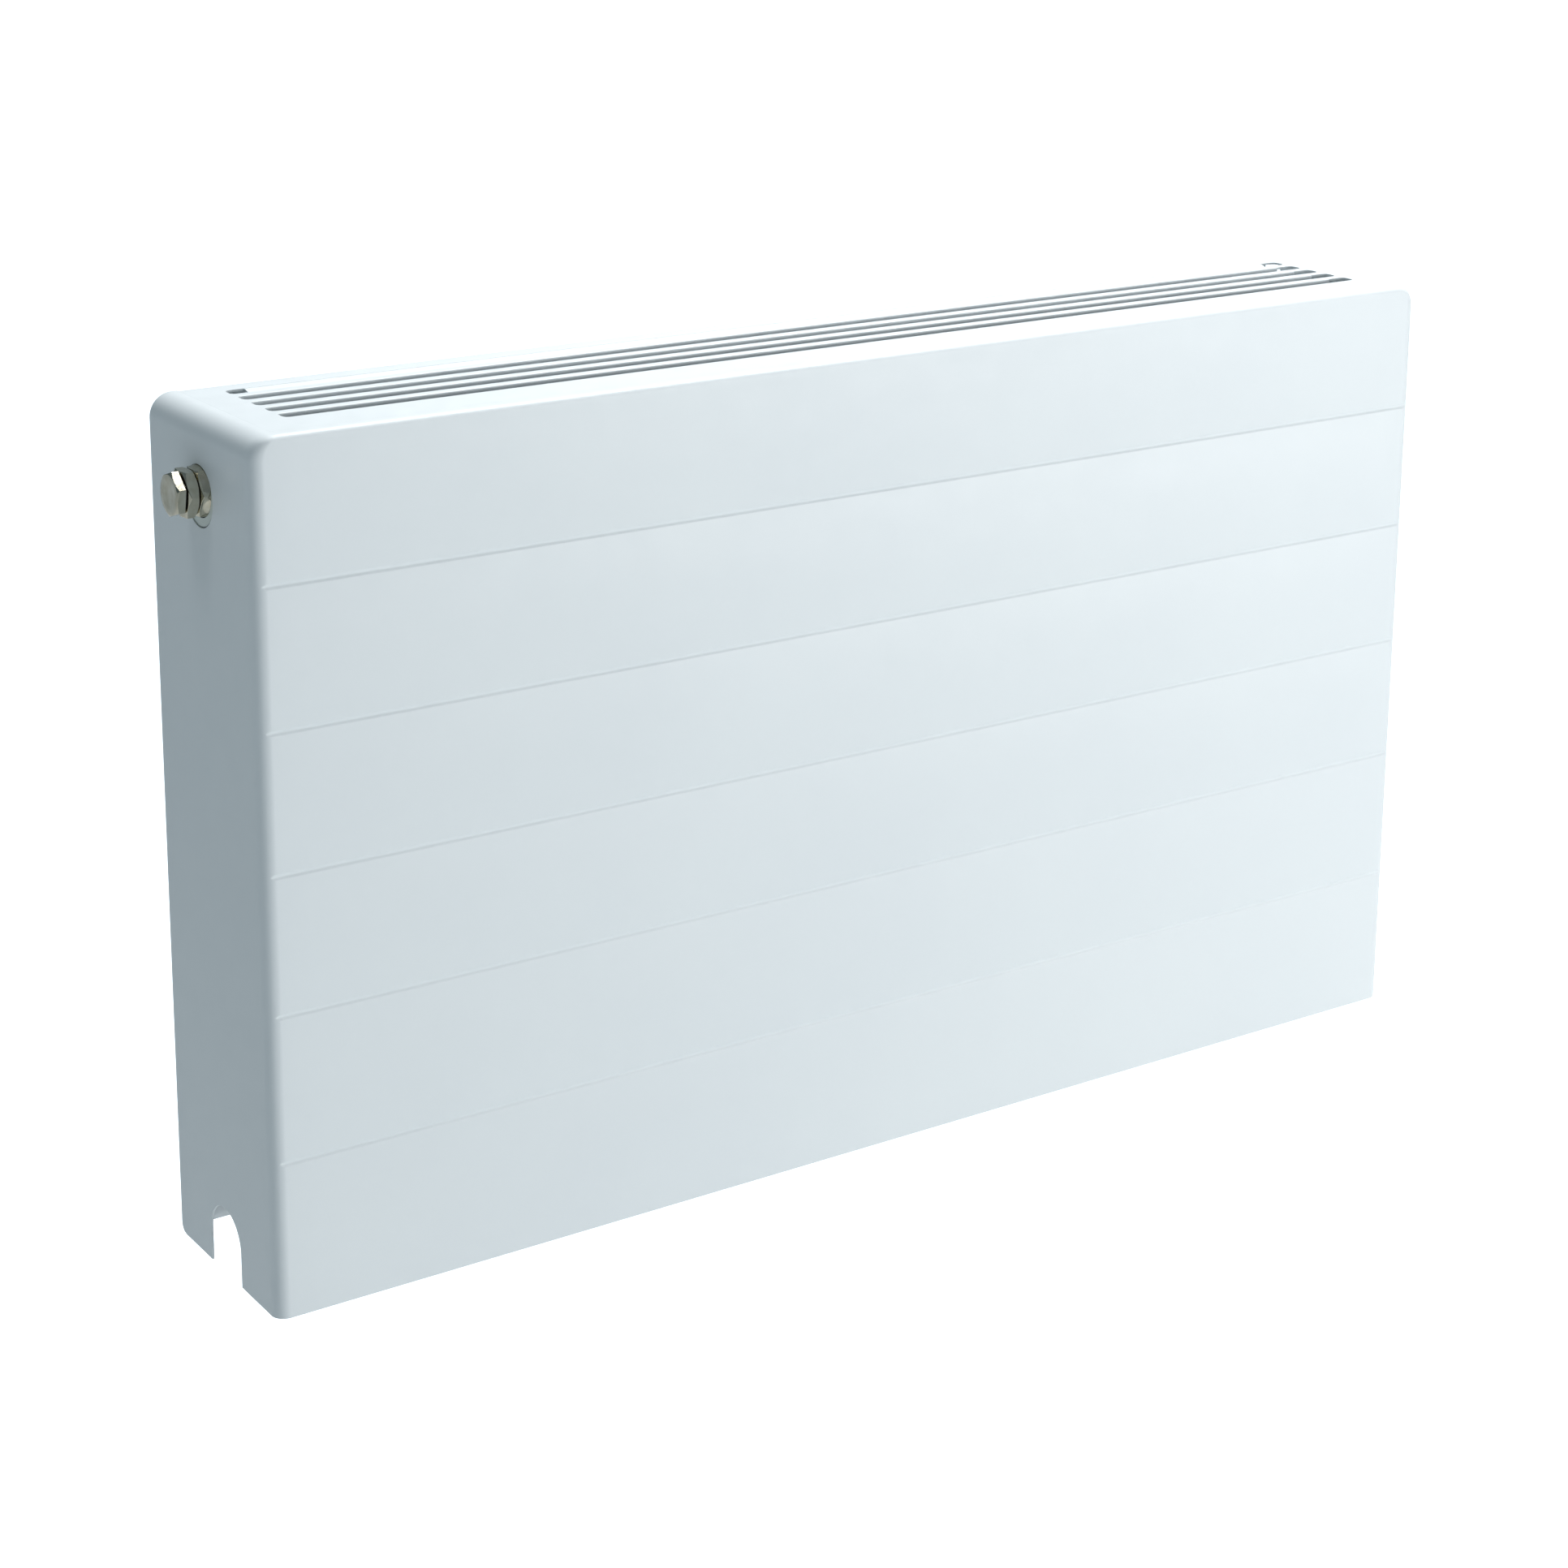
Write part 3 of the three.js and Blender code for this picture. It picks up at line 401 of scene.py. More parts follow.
class NodeKit:
    """The nodes of a new material or world, with short ways to add and join them."""

    def __init__(self, owner: bpy.types.Material | bpy.types.World) -> None:
        """Turns the owner's nodes on.

        Args:
            owner: the new material or world.
        """
        owner.use_nodes = True
        self.owner = owner
        self.tree = owner.node_tree
        self.shader = self.tree.nodes.get("Principled BSDF")
        self.place = self.node("TexCoord").outputs["Object"]

    def node(self, kind: str, **values: object) -> bpy.types.Node:
        """Adds a node.

        Args:
            kind: the node's type name after ShaderNode.
            **values: its settings; a name that is an input (Title_Case) sets that input.

        Returns:
            The node.
        """
        made = self.tree.nodes.new("ShaderNode" + kind)
        for key, value in values.items():
            label = key.replace("_", " ")
            if label in made.inputs:
                made.inputs[label].default_value = value
            else:
                setattr(made, key, value)
        return made

    def join(self, output: Socket, target: Socket) -> None:
        """Links an output to an input."""
        self.tree.links.new(output, target)

    def noise(self, scale: float, octaves: float, place: Socket) -> Socket:
        """Noise on a set of coordinates.

        Args:
            scale: waves in a metre.
            octaves: how many finer layers it has.
            place: the coordinates.

        Returns:
            Its factor, mostly from 0.3 to 0.7.
        """
        noise = self.node("TexNoise", Scale=scale, Detail=octaves)
        self.join(place, noise.inputs["Vector"])
        return noise.outputs["Fac"]

    def spread(self, factor: Socket, low: float, high: float) -> Socket:
        """Spreads a noise over a range of numbers.

        Args:
            factor: the noise.
            low: the number where the noise is low.
            high: the number where it is high.

        Returns:
            The number.
        """
        ramp = self.node("MapRange", From_Min=0.3, From_Max=0.7, To_Min=low, To_Max=high)
        self.join(factor, ramp.inputs["Value"])
        return ramp.outputs["Result"]

    def blend(self, factor: Socket, first: Colour, second: Colour,
              span: tuple[float, float] = (0.3, 0.7)) -> Socket:
        """Mixes two colours by a factor.

        Args:
            factor: what decides between them.
            first: the colour at the span's start.
            second: the colour at its end.
            span: the factor's range, by default that of a noise.

        Returns:
            The mixed colour.
        """
        ramp = self.node("ValToRGB")
        for element, position, colour in zip(ramp.color_ramp.elements, span, (first, second)):
            element.position = position
            element.color = (*colour, 1)
        self.join(factor, ramp.inputs["Fac"])
        return ramp.outputs["Color"]

    def bump(self, height: Socket, depth: float, share: float) -> None:
        """Puts a relief on the shader.

        Args:
            height: from 0 to 1.
            depth: the relief's height in metres.
            share: how much of it is used.
        """
        bump = self.node("Bump", Strength=share, Distance=depth)
        self.join(height, bump.inputs["Height"])
        self.join(bump.outputs["Normal"], self.shader.inputs["Normal"])

    def uniform(self, **values: object) -> None:
        """Sets values that are the same all over the surface on the shader's own sockets."""
        for key, value in values.items():
            self.shader.inputs[key.replace("_", " ")].default_value = value


@dataclass(frozen=True)
class Finish:
    """What all finishes share: a tint that drifts and a roughness that varies, both by noise."""

    slot: str
    tint: Colour
    drift: Colour
    roughness: tuple[float, float]
    drift_noise: Noise = (45, 3)
    roughness_noise: Noise = (300, 3)

    def place(self, kit: NodeKit) -> Socket:
        """Returns the coordinates that the finish lies on."""
        return kit.place

    def detail(self, kit: NodeKit, place: Socket) -> None:
        """Adds what only this kind of finish has."""

    def build(self) -> bpy.types.Material:
        """Builds the material.

        Returns:
            The material, named after its slot.
        """
        kit = NodeKit(bpy.data.materials.new(self.slot))
        place = self.place(kit)
        tint = kit.blend(kit.noise(*self.drift_noise, place), self.tint, self.drift)
        kit.join(tint, kit.shader.inputs["Base Color"])
        rough = kit.spread(kit.noise(*self.roughness_noise, place), *self.roughness)
        kit.join(rough, kit.shader.inputs["Roughness"])
        self.detail(kit, place)
        return kit.owner


@dataclass(frozen=True)
class PaintedSteel(Finish):
    """Powder coat or enamel on sheet steel: a faint orange peel, and slow drifts of tint."""

    drift_noise: Noise = (5.5, 3)
    roughness_noise: Noise = (60, 4)
    peel: float = 0.00003
    peel_noise: Noise = (420, 3)
    peel_share: float = 0.6
    gloss: float = 0.12
    gloss_roughness: float = 0.25

    def detail(self, kit: NodeKit, place: Socket) -> None:
        """Adds the orange peel and a thin gloss."""
        kit.bump(kit.noise(*self.peel_noise, place), self.peel, self.peel_share)
        kit.uniform(Coat_Weight=self.gloss, Coat_Roughness=self.gloss_roughness, IOR=1.5)


@dataclass(frozen=True)
class TurnedMetal(Finish):
    """Metal from the lathe: rings round its own axis, a little uneven tarnish and fine scratches."""

    drift_noise: Noise = (160, 4)
    roughness_noise: Noise = (900, 3)
    axis: tuple[float, float] = (0, 0)
    ring_scale: float = 700
    ring_wander: float = 1.5
    ring_depth: float = 0.0000015
    ring_share: float = 0.25

    def place(self, kit: NodeKit) -> Socket:
        """Returns coordinates that are centred on the lathe's axis.

        Args:
            kit: the material's nodes.

        Returns:
            The coordinates.
        """
        mapping = kit.node("Mapping", Location=(0, -self.axis[0], -self.axis[1]))
        kit.join(kit.place, mapping.inputs["Vector"])
        return mapping.outputs["Vector"]

    def detail(self, kit: NodeKit, place: Socket) -> None:
        """Adds the rings, and makes it metal.

        Args:
            kit: the material's nodes.
            place: the centred coordinates.
        """
        rings = kit.node("TexWave", wave_type="RINGS", rings_direction="X", Scale=self.ring_scale,
                         Distortion=self.ring_wander, Detail=2)
        kit.join(place, rings.inputs["Vector"])
        kit.bump(rings.outputs["Fac"], self.ring_depth, self.ring_share)
        kit.uniform(Metallic=1)


@dataclass(frozen=True)
class Moulded(Finish):
    """Moulded plastic or rubber: a fine matt skin and a soft drift of tint."""

    grain: float = 0.00002
    grain_noise: Noise = (1600, 2)
    grain_share: float = 0.6

    def detail(self, kit: NodeKit, place: Socket) -> None:
        """Adds the grain of the mould."""
        kit.bump(kit.noise(*self.grain_noise, place), self.grain, self.grain_share)
        kit.uniform(IOR=1.46)


class Dresser:
    """Gives pieces and nodes their finish, body and slot."""

    def __init__(self, finishes: tuple[Finish, ...]) -> None:
        """Builds each finish's material once."""
        self.materials = {finish.slot: finish.build() for finish in finishes}

    def dress(self, piece: Object, node: str, slot: str, edge: float = 0,
              segments: int = 2) -> None:
        """Finishes a new piece that stands for a node.

        Args:
            piece: the piece.
            node: the node whose place it takes.
            slot: the record's slot, which is also the material's name.
            edge: width of the rounding along its creases.
            segments: faces across the rounding.
        """
        ease_edges(piece, edge, segments)
        body = frame["nodes"][node]["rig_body"]
        piece.data.materials.clear()
        piece.data.materials.append(self.materials[slot])
        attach(piece, body)
        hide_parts(node)
        log.info("%s: %d faces, rides on %s", piece.name, len(piece.data.polygons), body)

    def paint(self, slot: str, *nodes: str) -> None:
        """Gives nodes that keep their shape a finish.

        Args:
            slot: the record's slot, which is also the material's name.
            *nodes: the nodes.
        """
        for node in nodes:
            kept = frame["nodes"][node]
            if not kept.material_slots:
                kept.data.materials.append(self.materials[slot])
            for held in kept.material_slots:
                held.material = self.materials[slot]
            log.info("%s keeps its shape, finish %s", node, slot)


# ---------------------------------------------------------------- places shared by the sub-assemblies


@dataclass(frozen=True)
class Places:
    """Planes and axes that more than one sub-assembly uses, read from the frame."""

    left: float
    right: float
    front: float
    rear: float
    top: float
    axis_y: float
    axis_z: float
    plug_z: float

    @classmethod
    def from_frame(cls) -> "Places":
        """Returns the places, from the casing's, the union nut's and the plugs' boxes."""
        cover_low, cover_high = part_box("front_cover")
        nut_low, nut_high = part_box("union_nut")
        plug_low, plug_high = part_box("blank_plug_left")
        return cls(
            left=cover_low.x, right=cover_high.x, front=cover_low.y, rear=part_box("side_cover_left")[1].y,
            top=cover_high.z, axis_y=(nut_low.y + nut_high.y) / 2, axis_z=(nut_low.z + nut_high.z) / 2,
            plug_z=(plug_low.z + plug_high.z) / 2)

    def face(self, side: Side) -> float:
        """Returns the outer plane of a side cover along X."""
        return self.left if side is Side.LEFT else self.right

    def turned(self, name: str, side: Side, profile: Array, axis_z: float | None = None,
               flats: float = 0, turn: float = 0) -> Object:
        """A turned piece about an axis along X: x = face + side * u, and y, z = axis + R (cos a,
        sin a), with R the profile's radius or, if that is less, a hexagon's.

        Args:
            name: the piece's name.
            side: the end of the radiator that it is at.
            profile: (u, radius) points, u outwards from the side cover's face. It starts and ends
                on the axis, or its last point is its first.
            axis_z: height of the axis, if it isn't the valve's.
            flats: size across the flats of a hexagon, or 0 for a round piece.
            turn: direction of the hexagon's first flat.

        Returns:
            The piece.
        """
        angle = np.arange(ROUND_HEXAGON) * 2 * math.pi / ROUND_HEXAGON
        radius = np.broadcast_to(profile[:, 1:2], (len(profile), ROUND_HEXAGON))
        if flats:
            radius = np.minimum(radius, hexagon_radius(angle, flats, turn)[None, :])
        x = self.face(side) + side.value * profile[:, 0:1]
        y = self.axis_y + radius * np.cos(angle)
        z = (self.axis_z if axis_z is None else axis_z) + radius * np.sin(angle)
        return add_piece(name, grid_points(x, y, z), grid_faces(*radius.shape, wrap_columns=True))


def turned_profile(corners: list[tuple[float, float]], edge: float) -> Array:
    """Returns (u, radius) corners in millimetres as a profile in metres, its edges rounded."""
    return soften(np.array(corners, float), edge, EDGE_STEPS) * MM


def hexagon_profile(u0: float, u1: float, flats: float, both: bool = False, bore: float = 0) -> Array:
    """A lathe profile that turns off a hexagon's corners: the radius rises from 0.98 of half the
    flats to past the corners within 0.6 of that rise, on the outer face or on both.

    Args:
        u0: inner face, in millimetres.
        u1: outer face, in millimetres.
        flats: size across the flats, in millimetres.
        both: whether the inner face's corners are turned off too.
        bore: radius of a hole through it, or 0, in millimetres.

    Returns:
        The (u, radius) points in metres.
    """
    corner = flats / math.sqrt(3)
    face = flats / 2 * FLAT_SHARE
    fall = (corner - face) * CORNER_FALL
    rise = np.linspace(0, 1, CORNER_POINTS)
    past = corner + PAST_CORNER
    radius = face + (past - face) * rise
    low = np.column_stack([u0 + fall * rise, radius]) if both else np.array([[u0, face], [u0, past]])
    high = np.column_stack([u1 - fall * rise, radius])
    body = np.vstack([[u0, bore], low, high[::-1], [u1, bore]])
    if bore:
        body = np.vstack([body, body[:1]])
    return body * MM


@dataclass
class Assembly:
    """What every sub-assembly has: the shared places, and what dresses its pieces."""

    places: Places
    dresser: Dresser


# ---------------------------------------------------------------- casing


@dataclass
class Casing(Assembly):
    """Front cover, side covers and top grille: bent sheet steel, powder coated. Metres."""

    sheet: float = 1.5 * MM
    upright_radius: float = 10 * MM
    shoulder_radius: float = 16 * MM
    brow_radius: float = 4 * MM
    foot_radius: float = 7 * MM
    front_return: float = 12 * MM
    shoulder_return: float = 20 * MM
    seam: float = 0.03 * MM
    groove_half: float = 2.4 * MM
    groove_depth: float = 0.9 * MM
    lowest_band: float = 111 * MM
    upper_band: float = 96.5 * MM
    upper_bands: int = 4
    port_radius: float = 21 * MM
    port_drop: float = 3.5 * MM
    notch_half: float = 24 * MM
    notch_height: float = 48.5 * MM
    notch_setback: float = 80 * MM
    slot_pitch: float = 20.2 * MM
    slot_width: float = 12.5 * MM
    slot_setback: float = 43.8 * MM
    slot_corner: float = 5 * MM
    slot_margin_left: float = 45 * MM
    slot_margin_right: float = 26 * MM
    slot_count: int = 5
    lip_drop: float = 6 * MM
    lip_radius: float = 1.8 * MM
    lip_thickness: float = 1.2 * MM
    lip_root: float = 2.5 * MM
    lip_gap_left: float = 2 * MM
    lip_gap_right: float = 15 * MM
    flap_fall: float = 3 * MM
    flap_gap: float = 1.5 * MM
    flap_seat: float = 0.2 * MM
    flap_root: float = 1 * MM
    rear_fold: float = 22 * MM
    fold_radius: float = 3 * MM
    cover_edge: float = 0.25 * MM
    side_edge: float = 0.3 * MM
    grille_edge: float = 0.2 * MM
    finish: str = "case_powder_coat"
    groove_points: int = 15
    shoulder_points: int = 9
    brow_points: int = 13
    front_points: int = 41
    roof_points: int = 4
    foot_points: int = 9
    flank_points: int = 12
    side_points: int = 14
    notch_points: int = 49
    slot_steps: int = 8
    fold_steps: int = 8
    lip_steps: int = 10
    flap_steps: int = 5

    def groove_heights(self) -> Array:
        """Returns the heights of the grooves across the front, from the lowest up."""
        upper = self.places.top - self.upper_band * np.arange(self.upper_bands, 0, -1)
        return np.concatenate([[self.lowest_band], upper])

    def heights(self) -> Array:
        """The heights of the front cover's rows, close together in grooves and bends.

        Returns:
            The heights, from the lowest up.
        """
        top = self.places.top
        fine = np.linspace(-self.groove_half, self.groove_half, self.groove_points)
        grooves = (self.groove_heights()[:, None] + fine).ravel()
        start = top - self.shoulder_radius
        brow = top - self.brow_radius
        reach = math.asin((brow - start) / self.shoulder_radius)
        shoulder = start + self.shoulder_radius * np.sin(np.linspace(0, reach, self.shoulder_points))
        quarter = brow + self.brow_radius * np.sin(np.linspace(0, math.pi / 2, self.brow_points))
        return np.unique(np.round(np.concatenate([[0], grooves, shoulder, quarter]), 7))

    def groove(self, z: Array) -> Array:
        """Depth of the grooves at a height: the depth times cos^2 of a half wave that reaches 0 at
        each groove's edges.

        Args:
            z: heights.

        Returns:
            The depth at each height.
        """
        away = np.abs(z[:, None] - self.groove_heights()[None, :]).min(axis=1)
        wave = np.cos(np.clip(away / self.groove_half, 0, 1) * math.pi / 2)
        return self.groove_depth * wave**2

    def front_cover(self) -> None:
        """The front cover. At height z its outline in plan is x = e c(z) + s R(z) cos a and
        y = y0 - R(z) sin a, where a turns round each upright bend and e runs from -1 to 1 between
        them. The bends into the top lean c(z) and R(z) in, and the grooves push y back."""
        places = self.places
        z = self.heights()
        middle = (places.left + places.right) / 2
        half = (places.right - places.left) / 2
        brow = bend_lean(z - (places.top - self.brow_radius), self.brow_radius)
        shoulder = bend_lean(z - (places.top - self.shoulder_radius), self.shoulder_radius)
        radius = self.upright_radius - brow
        centre = half - shoulder - radius
        turn = np.linspace(0, math.pi / 2, QUARTER)
        along = np.linspace(-1, 1, self.front_points)[1:-1]
        e = np.concatenate([[-1], -np.ones(QUARTER), along, np.ones(QUARTER), [1]])
        cosine = np.concatenate([[-1], -np.cos(turn), 0 * along, np.cos(turn[::-1]), [1]])
        sine = np.concatenate([[0], np.sin(turn), 1 + 0 * along, np.sin(turn[::-1]), [0]])
        tail = np.zeros(len(e))
        tail[[0, -1]] = self.front_return - self.seam - self.upright_radius
        x = middle + centre[:, None] * e + radius[:, None] * cosine
        y = places.front + self.upright_radius - radius[:, None] * sine + tail
        y = np.maximum(y, places.front + self.groove(z)[:, None])
        wall = grid_points(x, y, z[:, None])
        back = places.front + self.front_return - self.seam
        share = np.linspace(0, 1, self.roof_points)[1:, None]
        roof_y = wall[-1, :, 1] * (1 - share) + back * share
        points = np.concatenate([wall, grid_points(x[-1], roof_y, places.top)])
        cover = add_piece("front_cover_sheet", points, grid_faces(*points.shape[:2]), closed=False)
        self.thicken(cover)
        self.dresser.dress(cover, "front_cover", self.finish, self.cover_edge)

    def thicken(self, piece: Object) -> None:
        """Gives an outer skin the sheet's thickness, inwards.

        Args:
            piece: the skin.
        """
        wall = piece.modifiers.new("sheet", "SOLIDIFY")
        wall.thickness = self.sheet
        wall.offset = -1
        wall.use_even_offset = True
        settle(piece)

    def side_cover(self, side: Side) -> None:
        """A side cover. Its section climbs the flank, turns through the shoulder and reaches over
        the top, and runs straight back along y, where its lower rear corner is rounded.

        Args:
            side: the end that it covers.
        """
        places = self.places
        turn = np.linspace(0, math.pi / 2, QUARTER)
        start = places.top - self.shoulder_radius
        foot = np.linspace(0, self.foot_radius, self.foot_points)[:-1]
        flank = np.concatenate([foot, np.linspace(self.foot_radius, start, self.flank_points)[:-1]])
        lean = self.shoulder_radius * (1 - np.cos(turn))
        inward = np.concatenate([0 * flank, lean, [self.shoulder_return]])
        z = np.concatenate([flank, start + self.shoulder_radius * np.sin(turn), [places.top]])
        low = np.clip(self.foot_radius - z, 0, self.foot_radius)
        rear = places.rear - (self.foot_radius - np.sqrt(self.foot_radius**2 - low**2))
        near = places.front + self.front_return + self.seam
        share = np.linspace(0, 1, self.side_points)[None, :]
        y = near + (rear[:, None] - near) * share
        x = places.face(side) - side.value * inward
        points = grid_points(x[:, None], y, z[:, None])
        faces = grid_faces(*y.shape)[:, ::side.value]
        cover = add_piece(f"side_cover_sheet_{side.word}", points, faces, closed=False)
        self.thicken(cover)
        combine(cover, [self.port_tool(side), self.notch_tool(side)], Joining.CUT)
        self.dresser.dress(cover, f"side_cover_{side.word}", self.finish, self.side_edge)

    def through(self, side: Side) -> tuple[float, float]:
        """Returns the start and end along X of a tool that passes through a side cover."""
        face = self.places.face(side)
        return face - 3 * self.sheet, face + 3 * self.sheet

    def port_tool(self, side: Side) -> Object:
        """Returns the round tool that cuts the valve's or vent's port."""
        centre = np.array([self.places.axis_y, self.places.axis_z - self.port_drop])
        return add_cylinder("port_tool", centre, self.port_radius, *self.through(side))

    def notch_tool(self, side: Side) -> Object:
        """An arched tool that cuts the pipe notch out of the lower edge.

        Args:
            side: the end that it cuts.

        Returns:
            The tool.
        """
        centre_y = self.places.front + self.notch_setback
        spring = self.notch_height - self.notch_half
        angle = np.linspace(0, math.pi, self.notch_points)
        arch = [centre_y, spring] + self.notch_half * np.column_stack([np.cos(angle), np.sin(angle)])
        foot = [centre_y, -10 * MM] + self.notch_half * np.array([[-1, 0], [1, 0]])
        return add_piece("notch_tool", *sweep_outline(np.vstack([arch, foot]), *self.through(side)))

    def slot_tool(self, x0: float, x1: float, y0: float, y1: float) -> Object:
        """A tool for a slot with round corners, standing through the top.

        Args:
            x0: left end.
            x1: right end.
            y0: front edge.
            y1: rear edge.

        Returns:
            The tool.
        """
        outline = soften(rectangle(x0, x1, y0, y1), self.slot_corner, self.slot_steps, closed=True)
        top = self.places.top
        points, faces = sweep_outline(outline, top - 3 * self.sheet, top + 3 * self.sheet)
        return add_piece("slot_tool", np.roll(points, -1, axis=-1), faces)

    def grille_plate(self) -> Object:
        """The grille's sheet: flat over the top, and folded down along its rear edge.

        Returns:
            The sheet, without its slots.
        """
        places = self.places
        x0 = places.left + self.shoulder_return + self.seam
        x1 = places.right - self.shoulder_return - self.seam
        near = places.front + self.front_return + self.seam
        line = np.array([[near, places.top], [places.rear, places.top],
                         [places.rear, places.top - self.rear_fold]])
        outer = soften(line, self.fold_radius, self.fold_steps)
        return add_piece("top_grille_sheet", *sweep_strip(outer, offset_line(outer, -self.sheet), x0, x1))

    def top_grille(self) -> None:
        """The lift-off grille: a flat sheet with slots. The strip behind each slot starts with a
        lip that bends down, and a flap closes the middle of the rear slot."""
        places = self.places
        slot_x0 = places.left + self.slot_margin_left
        slot_x1 = places.right - self.slot_margin_right
        lip_x = (slot_x0 + self.lip_gap_left, slot_x1 - self.lip_gap_right)
        flap_x = (slot_x0 + self.lip_gap_right, slot_x1 - self.lip_gap_right)
        tools, lips = [], []
        for number in range(self.slot_count):
            near = places.front + self.slot_setback + number * self.slot_pitch
            far = near + self.slot_width
            tools.append(self.slot_tool(slot_x0, slot_x1, near, far))
            if number < self.slot_count - 1:
                tools.append(self.lip_seat_tool(far, *lip_x))
                lips.append(self.lip(far, lip_x))
            else:
                lips.append(self.flap(near, far, flap_x))
        plate = self.grille_plate()
        combine(plate, tools, Joining.CUT)
        combine(plate, lips, Joining.ADD)
        self.dresser.dress(plate, "top_grille", self.finish, self.grille_edge)

    def lip_seat_tool(self, far: float, x0: float, x1: float) -> Object:
        """A tool that clears a strip's front edge for its lip.

        Args:
            far: the slot's rear edge.
            x0: left end.
            x1: right end.

        Returns:
            The tool.
        """
        top = self.places.top
        low, high = top - 2 * self.sheet, top + 2 * self.sheet
        y0, y1 = far - self.sheet, far + self.lip_root
        seat = rectangle(y0, y1, low, high)
        return add_piece("lip_seat_tool", *sweep_outline(seat, x0, x1))

    def leaf(self, name: str, corners: list[list[float]], steps: int, ends: tuple) -> Object:
        """A lip or flap: a thin strip along X over a line of (y, z) corners.

        Args:
            name: its name.
            corners: the line, from the rear to the front.
            steps: pieces that each bend is divided into.
            ends: where it starts and ends along X.

        Returns:
            The strip.
        """
        outer = soften(np.array(corners), self.lip_radius, steps)
        return add_piece(name, *sweep_strip(outer, offset_line(outer, self.lip_thickness), *ends))

    def lip(self, far: float, ends: tuple[float, float]) -> Object:
        """Returns one slot's lip: a sheet that turns from the strip down into the slot."""
        top, root = self.places.top, far + self.lip_root + 10 * WELD
        return self.leaf("lip", [[root, top], [far, top], [far, top - self.lip_drop]],
                         self.lip_steps, ends)

    def flap(self, near: float, far: float, ends: tuple[float, float]) -> Object:
        """The flap that closes the middle of the rear slot, leaning down to the front.

        Args:
            near: the slot's front edge.
            far: its rear edge.
            ends: where the flap starts and ends along X.

        Returns:
            The flap.
        """
        seat = self.places.top - self.flap_seat
        fall = self.places.top - self.flap_fall
        corners = [[far + self.flap_root, seat], [far - self.flap_root, seat], [near + self.flap_gap, fall]]
        return self.leaf("flap", corners, self.flap_steps, ends)

    def build(self) -> None:
        """Makes the casing's four pieces."""
        self.front_cover()
        for side in Side:
            self.side_cover(side)
        self.top_grille()


# ---------------------------------------------------------------- heating core


@dataclass
class HeatingCore(Assembly):
    """Water panels, convectors, hubs, sockets and riser. Metres."""

    seam: float = 3 * MM
    channel_pitch: float = 40 * MM
    channel_crest: float = 20 * MM
    channel_slope: float = 8 * MM
    header: float = 48 * MM
    rim: float = 7 * MM
    fold_pitch: float = 36 * MM
    fold_crest: float = 10 * MM
    fold_sheet: float = 0.8 * MM
    fold_radius: float = 2.5 * MM
    channel_points: int = 14
    header_points: int = 16
    finish: str = "core_paint"

    def water_panel(self, node: str) -> None:
        """A pressed panel. Half its thickness is the seam's half plus a bulge, where the bulge is
        1 - (1 - channel)(1 - header), falling to 0 at the rim; channel and header are smooth steps
        over x and z.

        Args:
            node: the node that it stands for.
        """
        low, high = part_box(node)
        count = int((high.x - low.x - self.channel_pitch / 2) // self.channel_pitch)
        margin = (high.x - low.x - count * self.channel_pitch) / 2
        x = np.linspace(low.x, high.x, count * self.channel_points + 1)
        fine = np.linspace(0, self.header + self.channel_slope, self.header_points)
        z = np.concatenate([low.z + fine, [(low.z + high.z) / 2], high.z - fine[::-1]])
        phase = (x - low.x - margin) / self.channel_pitch
        from_crest = np.abs(phase - np.floor(phase) - 0.5) * self.channel_pitch
        inside = (phase > 0) & (phase < count)
        crest = self.channel_crest / 2
        channel = inside * (1 - smooth_step(crest, crest + self.channel_slope, from_crest))
        from_end = np.minimum(z - low.z, high.z - z)
        header = 1 - smooth_step(self.header - self.channel_slope, self.header, from_end)
        bulge = 1 - (1 - channel[None, :]) * (1 - header[:, None])
        from_side = np.minimum(x - low.x, high.x - x)
        bulge *= smooth_step(0, self.rim, from_side)[None, :] * smooth_step(0, self.rim, from_end)[:, None]
        reach = self.seam / 2 + ((high.y - low.y) / 2 - self.seam / 2) * bulge
        middle = (low.y + high.y) / 2
        skins = np.stack([grid_points(x, middle + sign * reach, z[:, None]) for sign in (-1, 1)])
        panel = add_piece(f"{node}_pressing", skins, slab_faces(*bulge.shape))
        self.dresser.dress(panel, node, self.finish)

    def convector(self, node: str) -> None:
        """A convector: a folded sheet whose plan line is a trapezoid wave with rounded folds.

        Args:
            node: the node that it stands for.
        """
        low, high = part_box(node)
        count = round((high.x - low.x + self.fold_pitch / 2 - self.fold_crest) / self.fold_pitch)
        run = self.fold_pitch / 2 - self.fold_crest
        starts = low.x + np.arange(count)[:, None] * self.fold_pitch
        steps = np.array([0, self.fold_crest, self.fold_crest + run, 2 * self.fold_crest + run])
        x = (starts + steps).ravel()
        y = np.tile([low.y, low.y, high.y - self.fold_sheet, high.y - self.fold_sheet], count)
        line = soften(np.column_stack([x, y]), self.fold_radius)
        skins = np.stack([line, offset_line(line, self.fold_sheet)])[:, :, None]
        points = grid_points(skins[..., 0], skins[..., 1], np.array([low.z, high.z]))
        sheet = add_piece(f"{node}_folds", points, slab_faces(len(line), 2))
        self.dresser.dress(sheet, node, self.finish)

    def build(self) -> None:
        """Makes the panels and convectors, and paints the core's other nodes."""
        for place in ("front", "rear"):
            self.water_panel(f"water_panel_{place}")
        for place in ("front", "middle", "rear"):
            self.convector(f"convector_{place}")
        self.dresser.paint(self.finish, "water_panel_middle", "hub_upper_left", "hub_upper_right",
                           "hub_lower_left", "hub_lower_right", "flow_socket", "return_socket", "riser_pipe")


# ---------------------------------------------------------------- valve and vent


